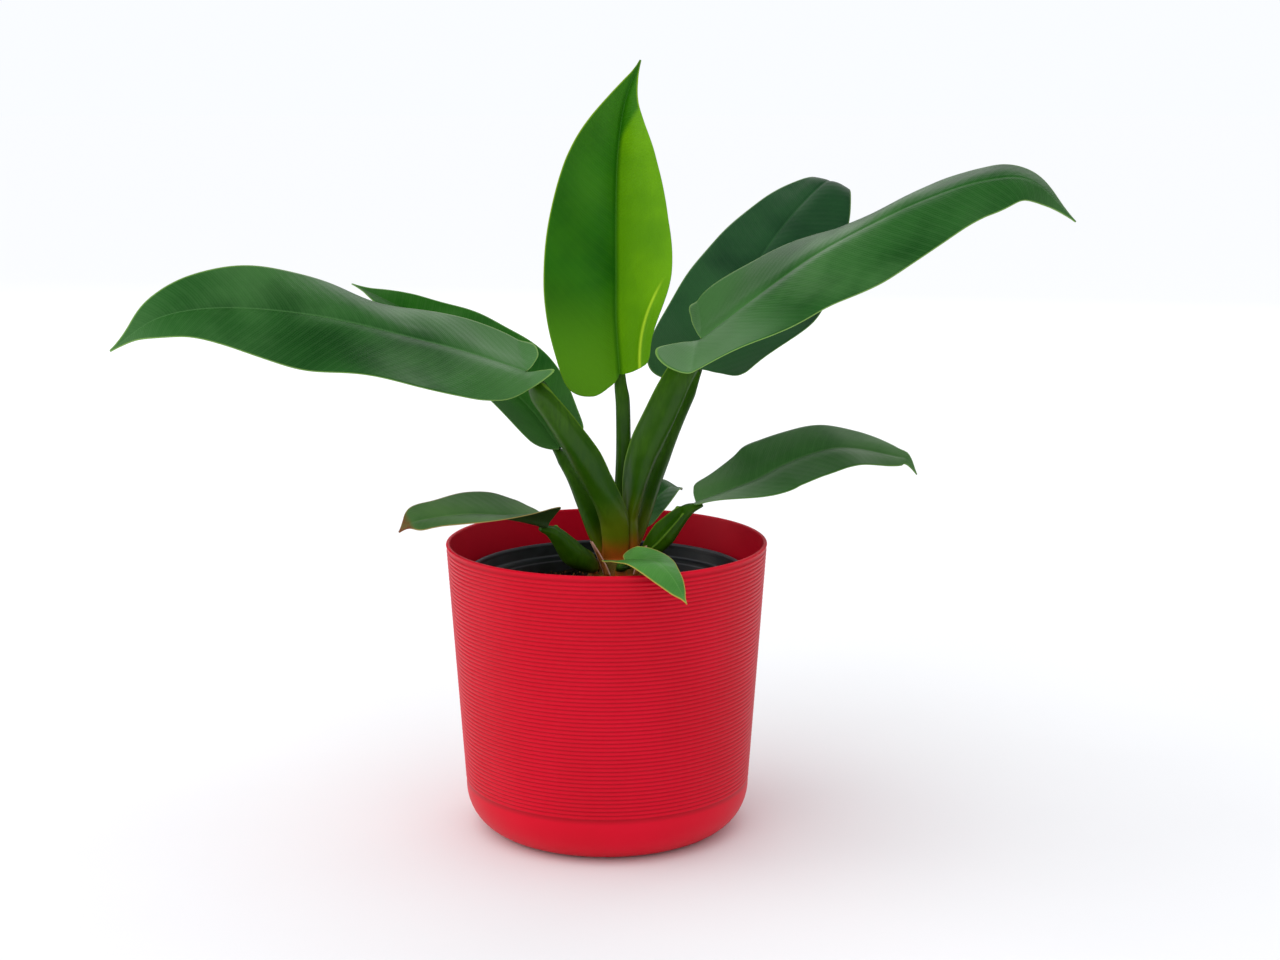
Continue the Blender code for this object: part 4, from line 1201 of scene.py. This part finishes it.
def red_finish():
    """Satin red plastic with a faint moulded grain, and painted shade low in the ribs."""
    finish, tree, shader = new_finish("red_plastic", 0.4, 0.16)
    clouds = patches(tree, 18.0, 0.3, 0.7)
    colour = mix_colour(tree, clouds, rgb(208, 0, 33), rgb(216, 0, 38))
    # Painted shade: darker red low in each groove between the ribs.
    groove = mark_value(tree, "rib_groove_shade")
    colour = tinted(tree, colour, groove, 0.55, rgb(140, 0, 16))
    grain = fine_grain(tree, 2200.0)
    dress(tree, shader, colour, mix_value(tree, grain, 0.38, 0.5), grain, 0.00006, 0.6)
    return finish


def black_finish():
    """Thin black plastic: dusty, scuffed grey along its lip, and painted highlights along its two
    step lines.
    """
    finish, tree, shader = new_finish("black_plastic", 0.5, 0.4)
    dust = patches(tree, 90.0, 0.42, 0.75)
    scuffs = fine_grain(tree, 420.0, 3.0)
    lip = height_band(tree, 0.1532, 0.16, 0.0009)
    scuffs_and_highlights = times(tree, lip, mix_value(tree, scuffs, 0.45, 0.9))
    colour = mix_colour(tree, dust, rgb(24, 26, 31), rgb(38, 42, 49))
    # Painted highlights: two thin pale lines along the step edges, added to the lip's scuffs.
    for bottom, top in STEP_HIGHLIGHT_BANDS:
        line = height_band(tree, bottom, top, 0.0003)
        scuffs_and_highlights = calc(tree, "MAXIMUM", scuffs_and_highlights, times(tree, line, 0.6))
    colour = tinted(tree, colour, scuffs_and_highlights, 0.6, rgb(112, 114, 122))
    dress(tree, shader, colour, mix_value(tree, dust, 0.42, 0.62), scuffs, 0.0001, 0.6)
    return finish


# The stage: the floor's rings in metres, how many sides they have and its tones near by and far
# off, then the point that the soft lights face and each light's place and size in metres and its
# watts. Glossy surfaces don't mirror the unreflected ones.
FLOOR_RINGS = (0.2, 0.6, 1.5, 4.0, 14.0, 80.0)
FLOOR_SIDES = 96
FLOOR_NEAR = ((0.86, 0.86, 0.86, 1), (0.88, 0.88, 0.88, 1))
FLOOR_FAR = (0.97, 0.97, 0.97, 1)
AIM = (0, 0, 0.2)
PANELS = {
    "back_window": ((0.5, 2.3, 1.7), (3.2, 1.8), 18),
    "front_fill": ((-1.2, -2.2, 1.1), (1.8, 1.4), 9),
    "left_side": ((-2.3, 0.2, 0.8), (1.4, 1.6), 9),
    "right_side": ((2.3, 0.4, 0.8), (1.4, 1.6), 2),
}
UNREFLECTED = ("front_fill",)


def stage_floor():
    """A wide plain pale floor, paler far out where the side lights no longer reach."""
    mesh = bpy.data.meshes.new("studio_floor")
    turn = 2 * math.pi * np.arange(FLOOR_SIDES) / FLOOR_SIDES
    points = [(0.0, 0.0, 0.0)]
    for radius in FLOOR_RINGS:
        points += [(radius * math.cos(t), radius * math.sin(t), 0.0) for t in turn]
    index = ring_grid(len(FLOOR_RINGS), FLOOR_SIDES, 1)
    ring = index[0].tolist()
    faces = [[0, a, b] for a, b in zip(ring, ring[1:])] + grid_quads(index, flip=True)
    mesh.from_pydata(points, [], faces)
    floor = add_object("studio_floor", mesh)
    finish, tree, shader = new_finish("pale_floor", 0.6, 0.0)
    clouds = patches(tree, 3.0, 0.2, 0.8)
    colour = mix_colour(tree, clouds, *FLOOR_NEAR)
    away = add_node(tree, "ShaderNodeVectorMath", operation="LENGTH")
    feed(tree, away.inputs[0], add_node(tree, "ShaderNodeTexCoord").outputs["Object"])
    far = soft_step(tree, away.outputs["Value"], 1.4, 3.2)
    feed(tree, shader.inputs["Base Color"], mix_colour(tree, far, colour, FLOOR_FAR))
    mesh.materials.append(finish)


def soft_light(name, place, size, watts):
    """A large soft panel of light that faces the plant."""
    data = bpy.data.lights.new(name, "AREA")
    data.shape = "RECTANGLE"
    data.size, data.size_y = size
    data.energy = watts
    lamp = add_object(name, data)
    lamp.location = place
    way = np.array(place, float) - np.array(AIM, float)
    yaw = math.atan2(way[0], -way[1])
    lamp.rotation_euler = (math.acos(way[2] / np.linalg.norm(way)), 0, yaw)
    lamp.visible_glossy = name not in UNREFLECTED
    lamp.visible_camera = False


def studio_air():
    """Even light from all round, seen by the camera in the far floor's own pale tone."""
    world = bpy.data.worlds.new("studio_air")
    bpy.context.scene.world = world
    world.use_nodes = True
    tree = world.node_tree
    air = tree.nodes["Background"]
    air.inputs["Color"].default_value = (0.93, 0.95, 1.0, 1)
    seen = tree.nodes.new("ShaderNodeLightPath").outputs["Is Camera Ray"]
    feed(tree, air.inputs["Strength"], mix_value(tree, seen, 0.75, 1.03))
    world.cycles_visibility.glossy = False


def studio():
    """Camera at the photo's viewing angle and plain soft light."""
    data = bpy.data.cameras.new("photo_camera")
    data.sensor_width = SENSOR_MM
    data.lens = SENSOR_MM * FOCAL_PX / PHOTO_WIDTH_PX
    data.clip_end = 200
    camera = add_object("photo_camera", data)
    camera.location = CAMERA_PLACE
    camera.rotation_euler = (math.radians(90 - CAMERA_PITCH), 0, math.radians(-CAMERA_YAW))
    bpy.context.scene.camera = camera
    stage_floor()
    for name, panel in PANELS.items():
        soft_light(name, *panel)
    sun = bpy.data.lights.new("overhead", "SUN")
    sun.energy = 1.0
    sun.angle = math.radians(70)
    overhead = add_object("overhead", sun)
    overhead.rotation_euler = (math.radians(8), math.radians(-20), 0)
    overhead.visible_glossy = False
    studio_air()
    bpy.context.scene.view_settings.view_transform = "Standard"


def build_looks():
    """Every piece of the plant and its pots."""
    finishes = {"leaf_browned_tip": browned_leaf_finish(), "leaf_young_green": young_leaf_finish()}
    for look in LEAF_GREENS:
        if look not in finishes:
            finishes[look] = leaf_finish(look)[0]
    stalk = stalk_finish()
    for seed, (name, leaf) in enumerate(LEAVES.items()):
        rows, columns, rings = LARGE_MESH if name in LARGE_LEAVES else SMALL_MESH
        finish = finishes[LEAF_LOOKS.get(name, "leaf_green")]
        leaf_blade(name, leaf, rows, columns, finish, seed)
        leaf_stalk(name, leaf, rings, STALK_SIDES, stalk, seed)
    cover_pot(red_finish())
    grow_pot(black_finish())
    soil_plug(soil_finish())
    crown_stem(crown_finish())
    dry = scale_finish()
    for seed, name in enumerate(SCALES):
        dry_scale(name, dry, seed)


build_looks()
studio()
